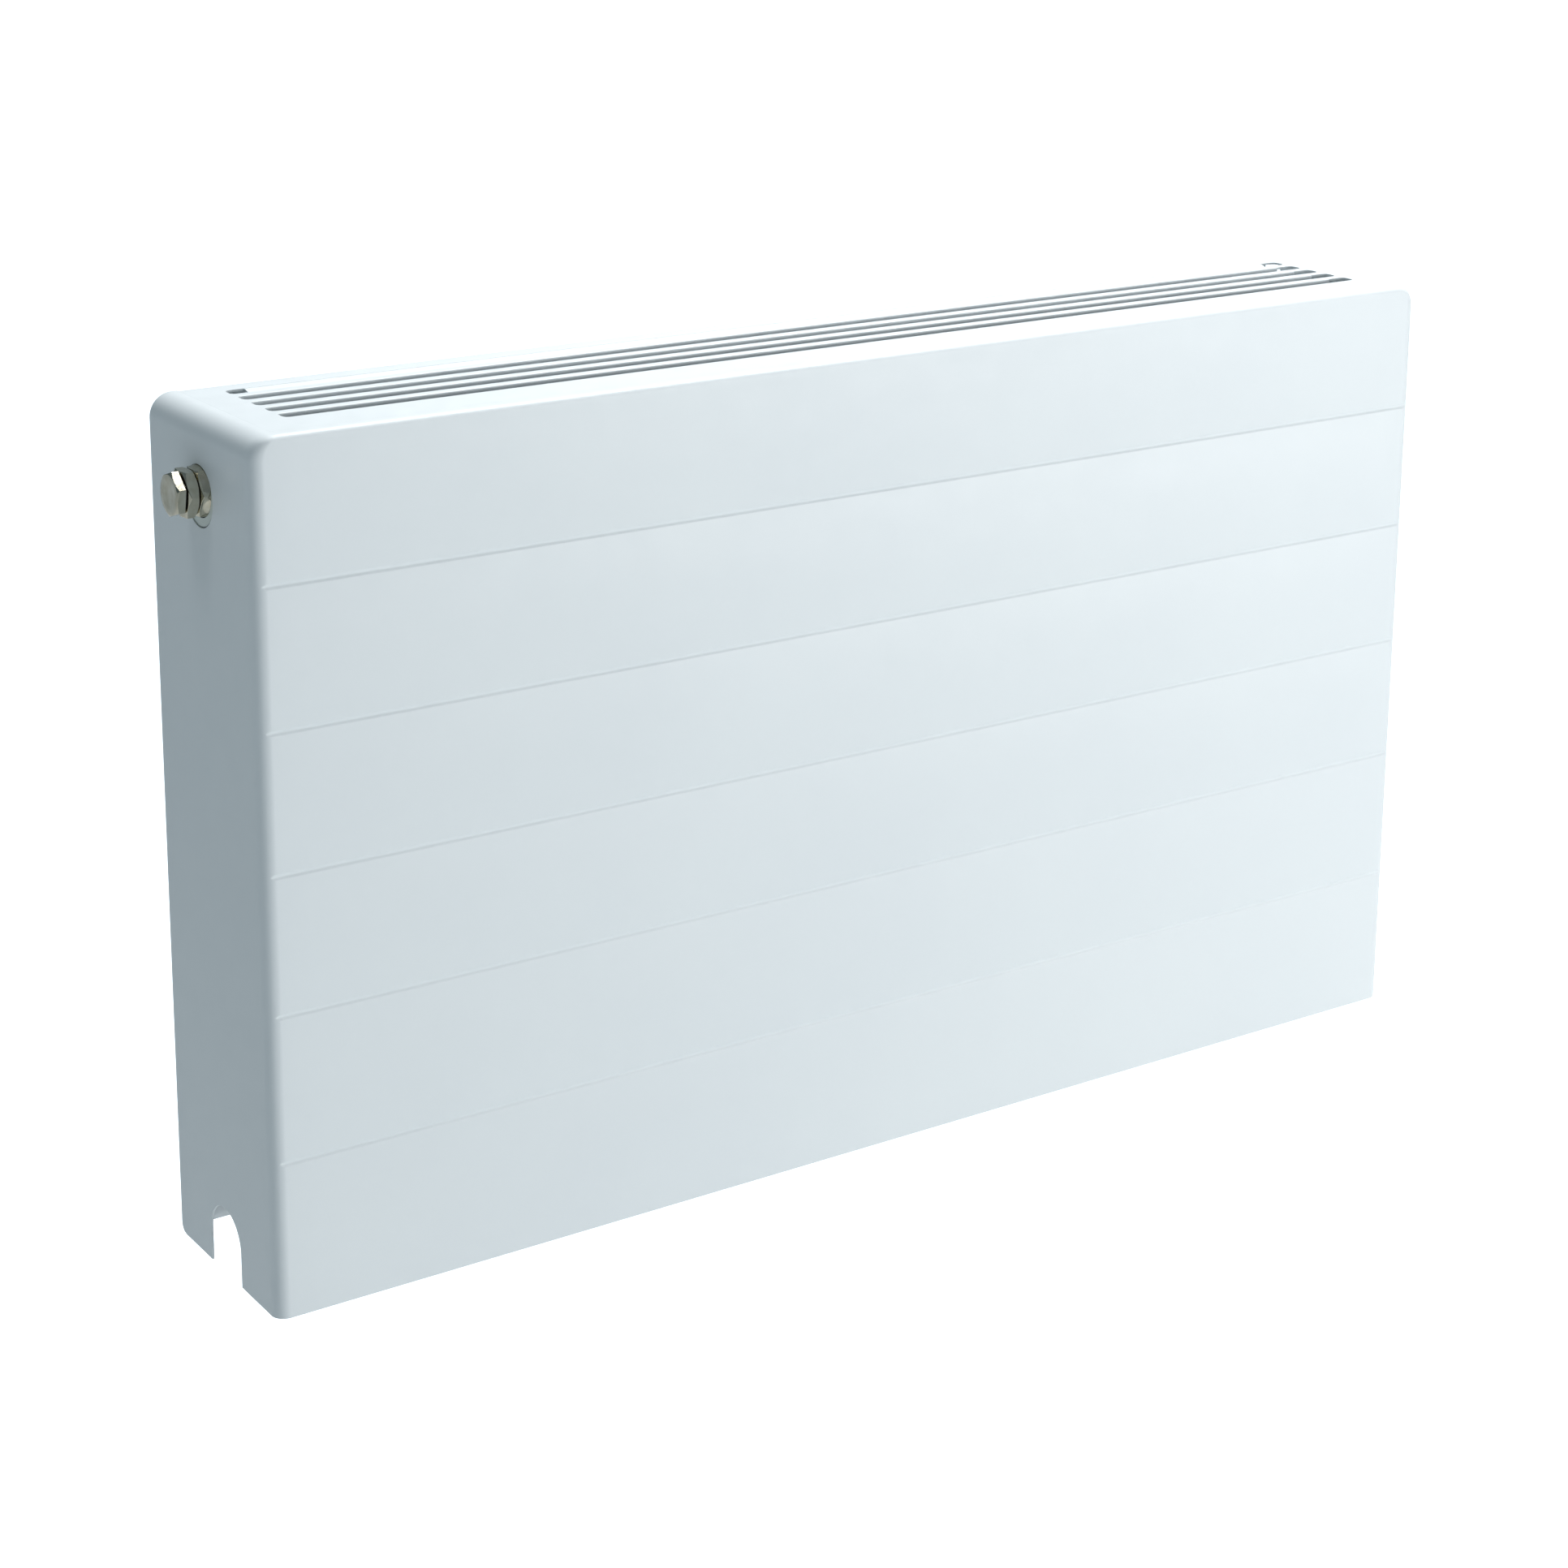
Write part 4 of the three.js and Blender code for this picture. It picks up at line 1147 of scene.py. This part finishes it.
@dataclass
class Valve(Assembly):
    """The valve on the upper left: rosette, insert with its flange, union nut and cap. Sizes are
    in millimetres, measured outwards from the side cover's face."""

    cap_flats: float = 27
    cap_turn: float = math.radians(71)
    cap_face: float = 20.7
    cap_head: float = 5.8
    dish_radius: float = 8.7
    dish_depth: float = 0.12
    spigot_radius: float = 6.2
    spigot_length: float = 6
    nut_flats: float = 30
    nut_outer: float = 13.6
    nut_inner: float = 5.9
    collar_outer: float = 5.2
    flange_radius: float = 16.5
    flange_inner: float = -3
    collar_inner: float = -1.3
    neck_radius: float = 9.6
    bore_radius: float = 5.6
    rosette_face: float = -3.3
    rosette_bore: float = 10.3
    rosette_hollow: float = 17.72
    rosette_edge: float = 0.2
    nut_turn: float = math.radians(90)
    nut_play: float = 0.3
    spigot_edge: float = 0.4
    insert_edge: float = 0.25
    shank_end: float = -17
    shank_radius: float = 9.7
    orifice_radius: float = 2.3
    chamber_floor: float = -13
    gland_seat: float = 7
    gland_radius: float = 6.5
    neck_outer: float = 12.9
    neck_root: float = 12
    collar_root: float = 15
    rim_margin: float = 0.02

    def cap(self) -> None:
        """The cap: a hexagon whose outer corners are turned off, a shallow dish in its end, and a
        spigot behind."""
        head_low = self.cap_face - self.cap_head
        head = hexagon_profile(head_low, self.cap_face, self.cap_flats)
        dish_floor = self.cap_face - self.dish_depth
        dish = np.array([[self.cap_face, self.dish_radius + 4 * self.dish_depth],
                         [dish_floor, self.dish_radius], [dish_floor, 0]]) * MM
        spigot_low = head_low - self.spigot_length
        spigot = turned_profile([(spigot_low, 0), (spigot_low, self.spigot_radius),
                                 (head_low, self.spigot_radius)], self.spigot_edge)
        profile = np.vstack([spigot, head[1:-1], dish])
        piece = self.places.turned("valve_cap_hexagon", Side.LEFT, profile, flats=self.cap_flats * MM,
                                   turn=self.cap_turn)
        self.dresser.dress(piece, "valve_cap", "nickel_plate")

    def nut(self) -> None:
        """The union nut: a hexagon with both faces' corners turned off, and a bore."""
        profile = hexagon_profile(self.nut_inner, self.nut_outer, self.nut_flats, both=True,
                                  bore=self.neck_radius + self.nut_play)
        piece = self.places.turned("union_nut_hexagon", Side.LEFT, profile, flats=self.nut_flats * MM,
                                   turn=self.nut_turn)
        self.dresser.dress(piece, "union_nut", "nickel_plate")

    def insert(self) -> None:
        """The insert: shank, round flange, hexagon collar and neck, turned in one, with the gland's
        seat, the spindle's chamber and the orifice bored through it."""
        collar = hexagon_profile(self.collar_inner, self.collar_outer, self.nut_flats)
        orifice, bore = self.orifice_radius, self.bore_radius
        shank = turned_profile([
            (self.shank_end, orifice), (self.shank_end, self.shank_radius),
            (self.flange_inner, self.shank_radius), (self.flange_inner, self.flange_radius),
            (self.collar_inner, self.flange_radius), (self.collar_inner, self.collar_root)],
            self.insert_edge)
        neck = turned_profile([
            (self.collar_outer, self.neck_root), (self.collar_outer, self.neck_radius),
            (self.neck_outer, self.neck_radius), (self.neck_outer, self.gland_radius),
            (self.gland_seat, self.gland_radius), (self.gland_seat, bore),
            (self.chamber_floor, bore), (self.chamber_floor, orifice)], self.insert_edge)
        profile = np.vstack([shank, collar[2:-2], neck, shank[:1]])
        piece = self.places.turned("valve_insert_turning", Side.LEFT, profile)
        self.shape_collar(piece)
        self.dresser.dress(piece, "valve_insert", "nickel_plate")

    def shape_collar(self, piece: Object) -> None:
        """Draws the collar's round rim in to a hexagon: between the flange and the neck each
        vertex's distance from the axis becomes the smaller of its own and the hexagon's.

        Args:
            piece: the insert.
        """
        mesh = piece.data
        flat = np.empty(len(mesh.vertices) * 3)
        mesh.vertices.foreach_get("co", flat)
        points = flat.reshape(-1, 3)
        across = points[:, 1:] - np.array([self.places.axis_y, self.places.axis_z])
        radius = np.linalg.norm(across, axis=1)
        angle = np.arctan2(across[:, 1], across[:, 0])
        outward = (self.places.left - points[:, 0]) / MM
        on_collar = (outward > self.collar_inner + self.rim_margin) \
            & (outward < self.collar_outer + self.rim_margin / 2)
        limit = np.where(on_collar, hexagon_radius(angle, self.nut_flats * MM, self.nut_turn), radius)
        share = np.minimum(radius, limit) / np.maximum(radius, WELD / 1000)
        points[:, 1:] = points[:, 1:] - across * (1 - share[:, None])
        mesh.vertices.foreach_set("co", points.ravel())
        mesh.update()

    def rosette(self) -> None:
        """The plastic rosette that closes the port: a disc centred on the port, hollowed and bored
        about the valve's axis, so that a crescent of its rim stands up to the port."""
        low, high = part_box("valve_rosette")
        centre = np.array([(low.y + high.y) / 2, (low.z + high.z) / 2])
        axis = np.array([self.places.axis_y, self.places.axis_z])
        face = self.places.left - self.rosette_face * MM
        disc = add_cylinder("valve_rosette_disc", centre, (high.z - low.z) / 2, low.x, high.x)
        hollow = add_cylinder("hollow", axis, self.rosette_hollow * MM, low.x - MM, face)
        bore = add_cylinder("bore", axis, self.rosette_bore * MM, low.x - MM, high.x + MM)
        combine(disc, [hollow, bore], Joining.CUT)
        self.dresser.dress(disc, "valve_rosette", "white_plastic", self.rosette_edge * MM)

    def build(self) -> None:
        """Makes the visible pieces, and gives the inner ones a finish."""
        self.cap()
        self.nut()
        self.insert()
        self.rosette()
        self.dresser.paint("nickel_plate", "valve_barrel")
        self.dresser.paint("seal_rubber", "cap_washer", "gland_seal", "valve_disc")
        self.dresser.paint("brass", "gland_bush")
        self.dresser.paint("spring_steel", "valve_spindle", "return_spring")


@dataclass
class VentAndPlugs(Assembly):
    """The air vent on the upper right and the blank plugs in the lower hubs. Sizes are in
    millimetres, measured outwards from the side cover's face."""

    boss_face: float = -30
    seal: float = 1.6
    gap: float = 0.3
    head: float = 6
    shank: float = 12
    shank_radius: float = 9.7
    edge: float = 0.3
    vent_flats: float = 27
    vent_turn: float = math.radians(30)
    vent_face: float = 12
    vent_bore: float = 5.2
    vent_orifice: float = 1.5
    vent_floor: float = 6
    plug_flats: float = 24
    plug_face: float = 10.6
    recess_face: float = 10
    recess_radius: float = 6
    recess_floor: float = 1

    @property
    def head_low(self) -> float:
        """Returns the inner face of a plug's head."""
        return self.boss_face + self.seal + 2 * self.gap

    @property
    def head_high(self) -> float:
        """Returns the outer face of a plug's head."""
        return self.head_low + self.head

    def plug(self, node: str, side: Side, shank: list[tuple], flats: float, hollow: list[tuple],
             **placing: float) -> None:
        """A plug: a hexagon head with a stepped hollow, on a round shank.

        Args:
            node: the node that it stands for.
            side: the end that it is at.
            shank: the shank's (u, radius) corners, from its inner end out to the head.
            flats: size across the head's flats.
            hollow: the hollow's corners, from the head's face inwards.
            **placing: the axis' height or the hexagon's turn.
        """
        head = hexagon_profile(self.head_low, self.head_high, flats)
        outside = turned_profile(shank, self.edge)
        closing = [outside[:1]] if shank[0][1] > 0 else []
        profile = np.vstack([outside, head[2:-1], turned_profile(hollow, self.edge), *closing])
        piece = self.places.turned(f"{node}_hexagon", side, profile, flats=flats * MM, **placing)
        self.dresser.dress(piece, node, "nickel_plate")

    def build(self) -> None:
        """Makes the plugs, and gives the small inner pieces a finish."""
        u0, u1, end = self.head_low, self.head_high, self.boss_face - self.shank
        stem = [(end, self.shank_radius), (u0, self.shank_radius)]
        floor = end + self.vent_floor
        self.plug("vent_plug", Side.RIGHT, [(end, self.vent_orifice), *stem, (u0, self.vent_face)],
                  self.vent_flats, [(u1, self.vent_face), (u1, self.vent_bore), (floor, self.vent_bore),
                                    (floor, self.vent_orifice)], turn=self.vent_turn)
        floor = u0 + self.recess_floor
        for side in Side:
            self.plug(f"blank_plug_{side.word}", side, [(end, 0), *stem, (u0, self.plug_face)], self.plug_flats,
                      [(u1, self.recess_face), (u1, self.recess_radius), (floor, self.recess_radius),
                       (floor, 0)], axis_z=self.places.plug_z)
            self.dresser.paint("seal_rubber", f"blank_plug_seal_{side.word}")
        self.dresser.paint("brass", "vent_screw")
        self.dresser.paint("seal_rubber", "vent_screw_seal", "vent_plug_seal")
        self.dresser.paint("white_plastic", "bleed_outlet")


# ---------------------------------------------------------------- fixings


@dataclass
class Fixings(Assembly):
    """Hanging lugs, front brackets, spring clips and wall spacers. Metres."""

    bend: float = 4 * MM
    lug_strip: float = 2.5 * MM
    lug_foot: float = 14 * MM
    lug_slope: float = 8 * MM
    lug_edge: float = 0.4 * MM
    strip: float = 1.5 * MM
    foot: float = 10 * MM
    strip_edge: float = 0.3 * MM
    spacer_radius: float = 3 * MM
    spacer_edge: float = 1.2 * MM
    panel_side_share: float = 0.3
    bend_steps: int = 5
    spacer_steps: int = 6
    spacer_segments: int = 3

    def hat(self, node: str, facing: Facing, foot: float, thickness: float, edge: float,
            slope: float | None = None) -> None:
        """A hat-shaped strip with rounded bends: two feet on a panel and a bridge between them.

        Args:
            node: the node that it stands for, whose box it fills.
            facing: which way its bridge stands.
            foot: length of each foot.
            thickness: of the strip.
            edge: width of the rounding along its creases.
            slope: length over which the strip climbs, or None for a slope of 45 degrees.
        """
        low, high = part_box(node)
        rise = high.y - low.y
        crest = rise - thickness
        climbed = foot + (slope or rise)
        line = np.array([[0, low.z], [0, low.z + foot], [crest, low.z + climbed], [crest, high.z - climbed],
                         [0, high.z - foot], [0, high.z]])
        seat = soften(line, self.bend, self.bend_steps)
        seat_y = low.y if facing is Facing.WALL else high.y
        faces = [face * [facing.value, 1] + [seat_y, 0] for face in (seat, offset_line(seat, -thickness))]
        piece = add_piece(f"{node}_strip", *sweep_strip(*faces, low.x, high.x))
        self.dresser.dress(piece, node, "core_paint", edge)

    def spacer(self, side: Side) -> None:
        """A wall spacer: a moulded block with rounded edges towards the wall.

        Args:
            side: left or right.
        """
        node = f"wall_spacer_{side.word}"
        low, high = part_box(node)
        corners = rectangle(low.y, high.y, low.z, high.z)
        share = np.array([[self.panel_side_share], [1], [1], [self.panel_side_share]])
        outline = soften(corners, share * self.spacer_radius, self.spacer_steps, closed=True)
        piece = add_piece(f"{node}_block", *sweep_outline(outline, low.x, high.x))
        self.dresser.dress(piece, node, "white_plastic", self.spacer_edge, self.spacer_segments)

    def build(self) -> None:
        """Makes the strips and spacers, and paints the clips."""
        for side in Side:
            for word in ("upper", "lower"):
                self.hat(f"hanging_lug_{word}_{side.word}", Facing.WALL, self.lug_foot, self.lug_strip,
                         self.lug_edge, self.lug_slope)
                self.hat(f"front_bracket_{word}_{side.word}", Facing.FRONT, self.foot, self.strip,
                         self.strip_edge)
                self.dresser.paint("core_paint", f"side_clip_{word}_{side.word}")
            self.spacer(side)
            self.dresser.paint("core_paint", f"grille_clip_{side.word}")


# ---------------------------------------------------------------- studio


@dataclass(frozen=True)
class Lamp:
    """A square area light: where it stands, what it faces, its side, watts and colour."""

    name: str
    place: Triple
    aim: Triple
    size: float
    power: float
    tint: Colour

    def build(self) -> None:
        """Adds the light."""
        data = bpy.data.lights.new(self.name, "AREA")
        data.size = self.size
        data.energy = self.power
        data.color = self.tint
        light = bpy.data.objects.new(self.name, data)
        light.location = self.place
        facing = Vector(self.aim) - Vector(self.place)
        light.rotation_euler = facing.to_track_quat("-Z", "Y").to_euler()
        bpy.context.scene.collection.objects.link(light)


@dataclass
class Studio:
    """Pale floor, soft lights and camera: a broad key to the front right, a soft light overhead
    and a small one that grazes the left side. Metres and degrees."""

    places: Places
    floor_drop: float = 0.6
    floor_reach: float = 60
    floor_noise: Noise = (0.5, 2)
    floor_base: Colour = (0.60, 0.60, 0.60)
    floor_drift: Colour = (0.62, 0.62, 0.62)
    floor_roughness: float = 0.9
    floor_glow: float = 0.28
    floor_seen: float = 1.5
    floor_tint: Colour = (0.82, 0.93, 1.0)
    surround: float = 0.28
    level_tint: Colour = (0.28, 0.42, 0.50)
    overhead_tint: Colour = (0.80, 0.92, 1.0)
    lamps: tuple[Lamp, ...] = (
        Lamp("key", (2.0, -2.8, 0.6), (0.1, 0, 0.25), 1.8, 71, (1, 0.985, 0.98)),
        Lamp("overhead", (0.6, 0.4, 2.4), (0.1, 0, 0.6), 1.2, 54, (0.99, 0.99, 1)),
        Lamp("left", (-1.0, 0.0, 2.0), (-0.45, 0, 0.4), 0.35, 2.6, (0.93, 0.98, 1)),
    )
    lens: float = 73.45
    shift_down: float = 0.2
    azimuth: float = -34.08
    elevation: float = 13.74
    roll: float = -0.44
    camera_from_corner: Triple = (-0.8033, -1.7773, 1.0529)

    def floor(self) -> None:
        """Lays a pale floor under the radiator, which hangs clear of it. It lights the scene
        dimly, and is seen bright."""
        span = np.array([-self.floor_reach, self.floor_reach])
        x, y = np.meshgrid(span, span)
        points = grid_points(x, y, -self.floor_drop)
        floor = add_piece("studio_floor", points, grid_faces(2, 2), closed=False)
        kit = NodeKit(bpy.data.materials.new("pale_floor"))
        tint = kit.blend(kit.noise(*self.floor_noise, kit.place), self.floor_base, self.floor_drift)
        kit.join(tint, kit.shader.inputs["Base Color"])
        kit.uniform(Roughness=self.floor_roughness, Emission_Color=(*self.floor_tint, 1))
        glow = kit.node("MapRange", To_Min=self.floor_glow, To_Max=self.floor_seen)
        kit.join(kit.node("LightPath").outputs["Is Camera Ray"], glow.inputs["Value"])
        kit.join(glow.outputs["Result"], kit.shader.inputs["Emission Strength"])
        floor.data.materials.append(kit.owner)

    def world(self) -> None:
        """Sets a dim surround, cool overhead and darker at eye level, that is seen as white
        behind the radiator."""
        kit = NodeKit(bpy.data.worlds.new("surround"))
        ambient = kit.node("Background", Strength=self.surround)
        seen = kit.node("Background", Color=(1, 1, 1, 1))
        parts = kit.node("SeparateXYZ")
        kit.join(kit.node("TexCoord").outputs["Generated"], parts.inputs["Vector"])
        kit.join(kit.blend(parts.outputs["Z"], self.level_tint, self.overhead_tint, (0, 1)),
                 ambient.inputs["Color"])
        mix = kit.node("MixShader")
        kit.join(kit.node("LightPath").outputs["Is Camera Ray"], mix.inputs["Fac"])
        for shader, target in zip((ambient, seen), mix.inputs[1:]):
            kit.join(shader.outputs["Background"], target)
        kit.join(mix.outputs["Shader"], kit.tree.nodes["World Output"].inputs["Surface"])
        bpy.context.scene.world = kit.owner

    def camera(self) -> None:
        """Stands the camera to the front left, above the top, looking slightly down."""
        azimuth, elevation = math.radians(self.azimuth), math.radians(self.elevation)
        back = Vector((math.sin(azimuth) * math.cos(elevation), -math.cos(azimuth) * math.cos(elevation),
                       math.sin(elevation)))
        right = (-back).cross(Vector((0, 0, 1))).normalized()
        up = back.cross(right)
        axes = Matrix((right, up, back)).transposed().to_4x4()
        data = bpy.data.cameras.new("camera")
        data.lens = self.lens
        data.shift_y = -self.shift_down
        camera = bpy.data.objects.new("camera", data)
        corner = Vector((self.places.left, self.places.front, 0))
        camera.matrix_world = Matrix.Translation(corner + Vector(self.camera_from_corner)) @ axes \
            @ Matrix.Rotation(math.radians(-self.roll), 4, "Z")
        bpy.context.scene.collection.objects.link(camera)
        bpy.context.scene.camera = camera

    def build(self) -> None:
        """Sets the whole studio up."""
        self.floor()
        self.world()
        for lamp in self.lamps:
            lamp.build()
        self.camera()
        bpy.context.scene.view_settings.view_transform = "Standard"


def main() -> None:
    logging.basicConfig(level=logging.INFO, format="%(message)s", stream=sys.stdout)
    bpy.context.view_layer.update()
    places = Places.from_frame()
    axis = (places.axis_y, places.axis_z)
    finishes = (
        PaintedSteel("case_powder_coat", (0.79, 0.84, 0.855), (0.81, 0.86, 0.87), (0.42, 0.51)),
        PaintedSteel("core_paint", (0.66, 0.70, 0.72), (0.70, 0.74, 0.75), (0.46, 0.55), peel=0.00005,
                     peel_noise=(260, 3)),
        TurnedMetal("nickel_plate", (0.62, 0.59, 0.49), (0.50, 0.46, 0.35), (0.088, 0.143), axis=axis),
        TurnedMetal("brass", (0.72, 0.52, 0.22), (0.55, 0.38, 0.15), (0.176, 0.286), axis=axis),
        TurnedMetal("spring_steel", (0.56, 0.57, 0.58), (0.45, 0.45, 0.46), (0.24, 0.39), axis=axis),
        Moulded("seal_rubber", (0.02, 0.02, 0.02), (0.035, 0.035, 0.035), (0.65, 0.76)),
        Moulded("white_plastic", (0.70, 0.76, 0.72), (0.73, 0.79, 0.75), (0.35, 0.46)),
    )
    dresser = Dresser(finishes)
    Studio(places).build()
    for assembly in (Casing, HeatingCore, Valve, VentAndPlugs, Fixings):
        assembly(places, dresser).build()
        log.info("%s done", assembly.__name__)


if __name__ == "__main__":
    main()
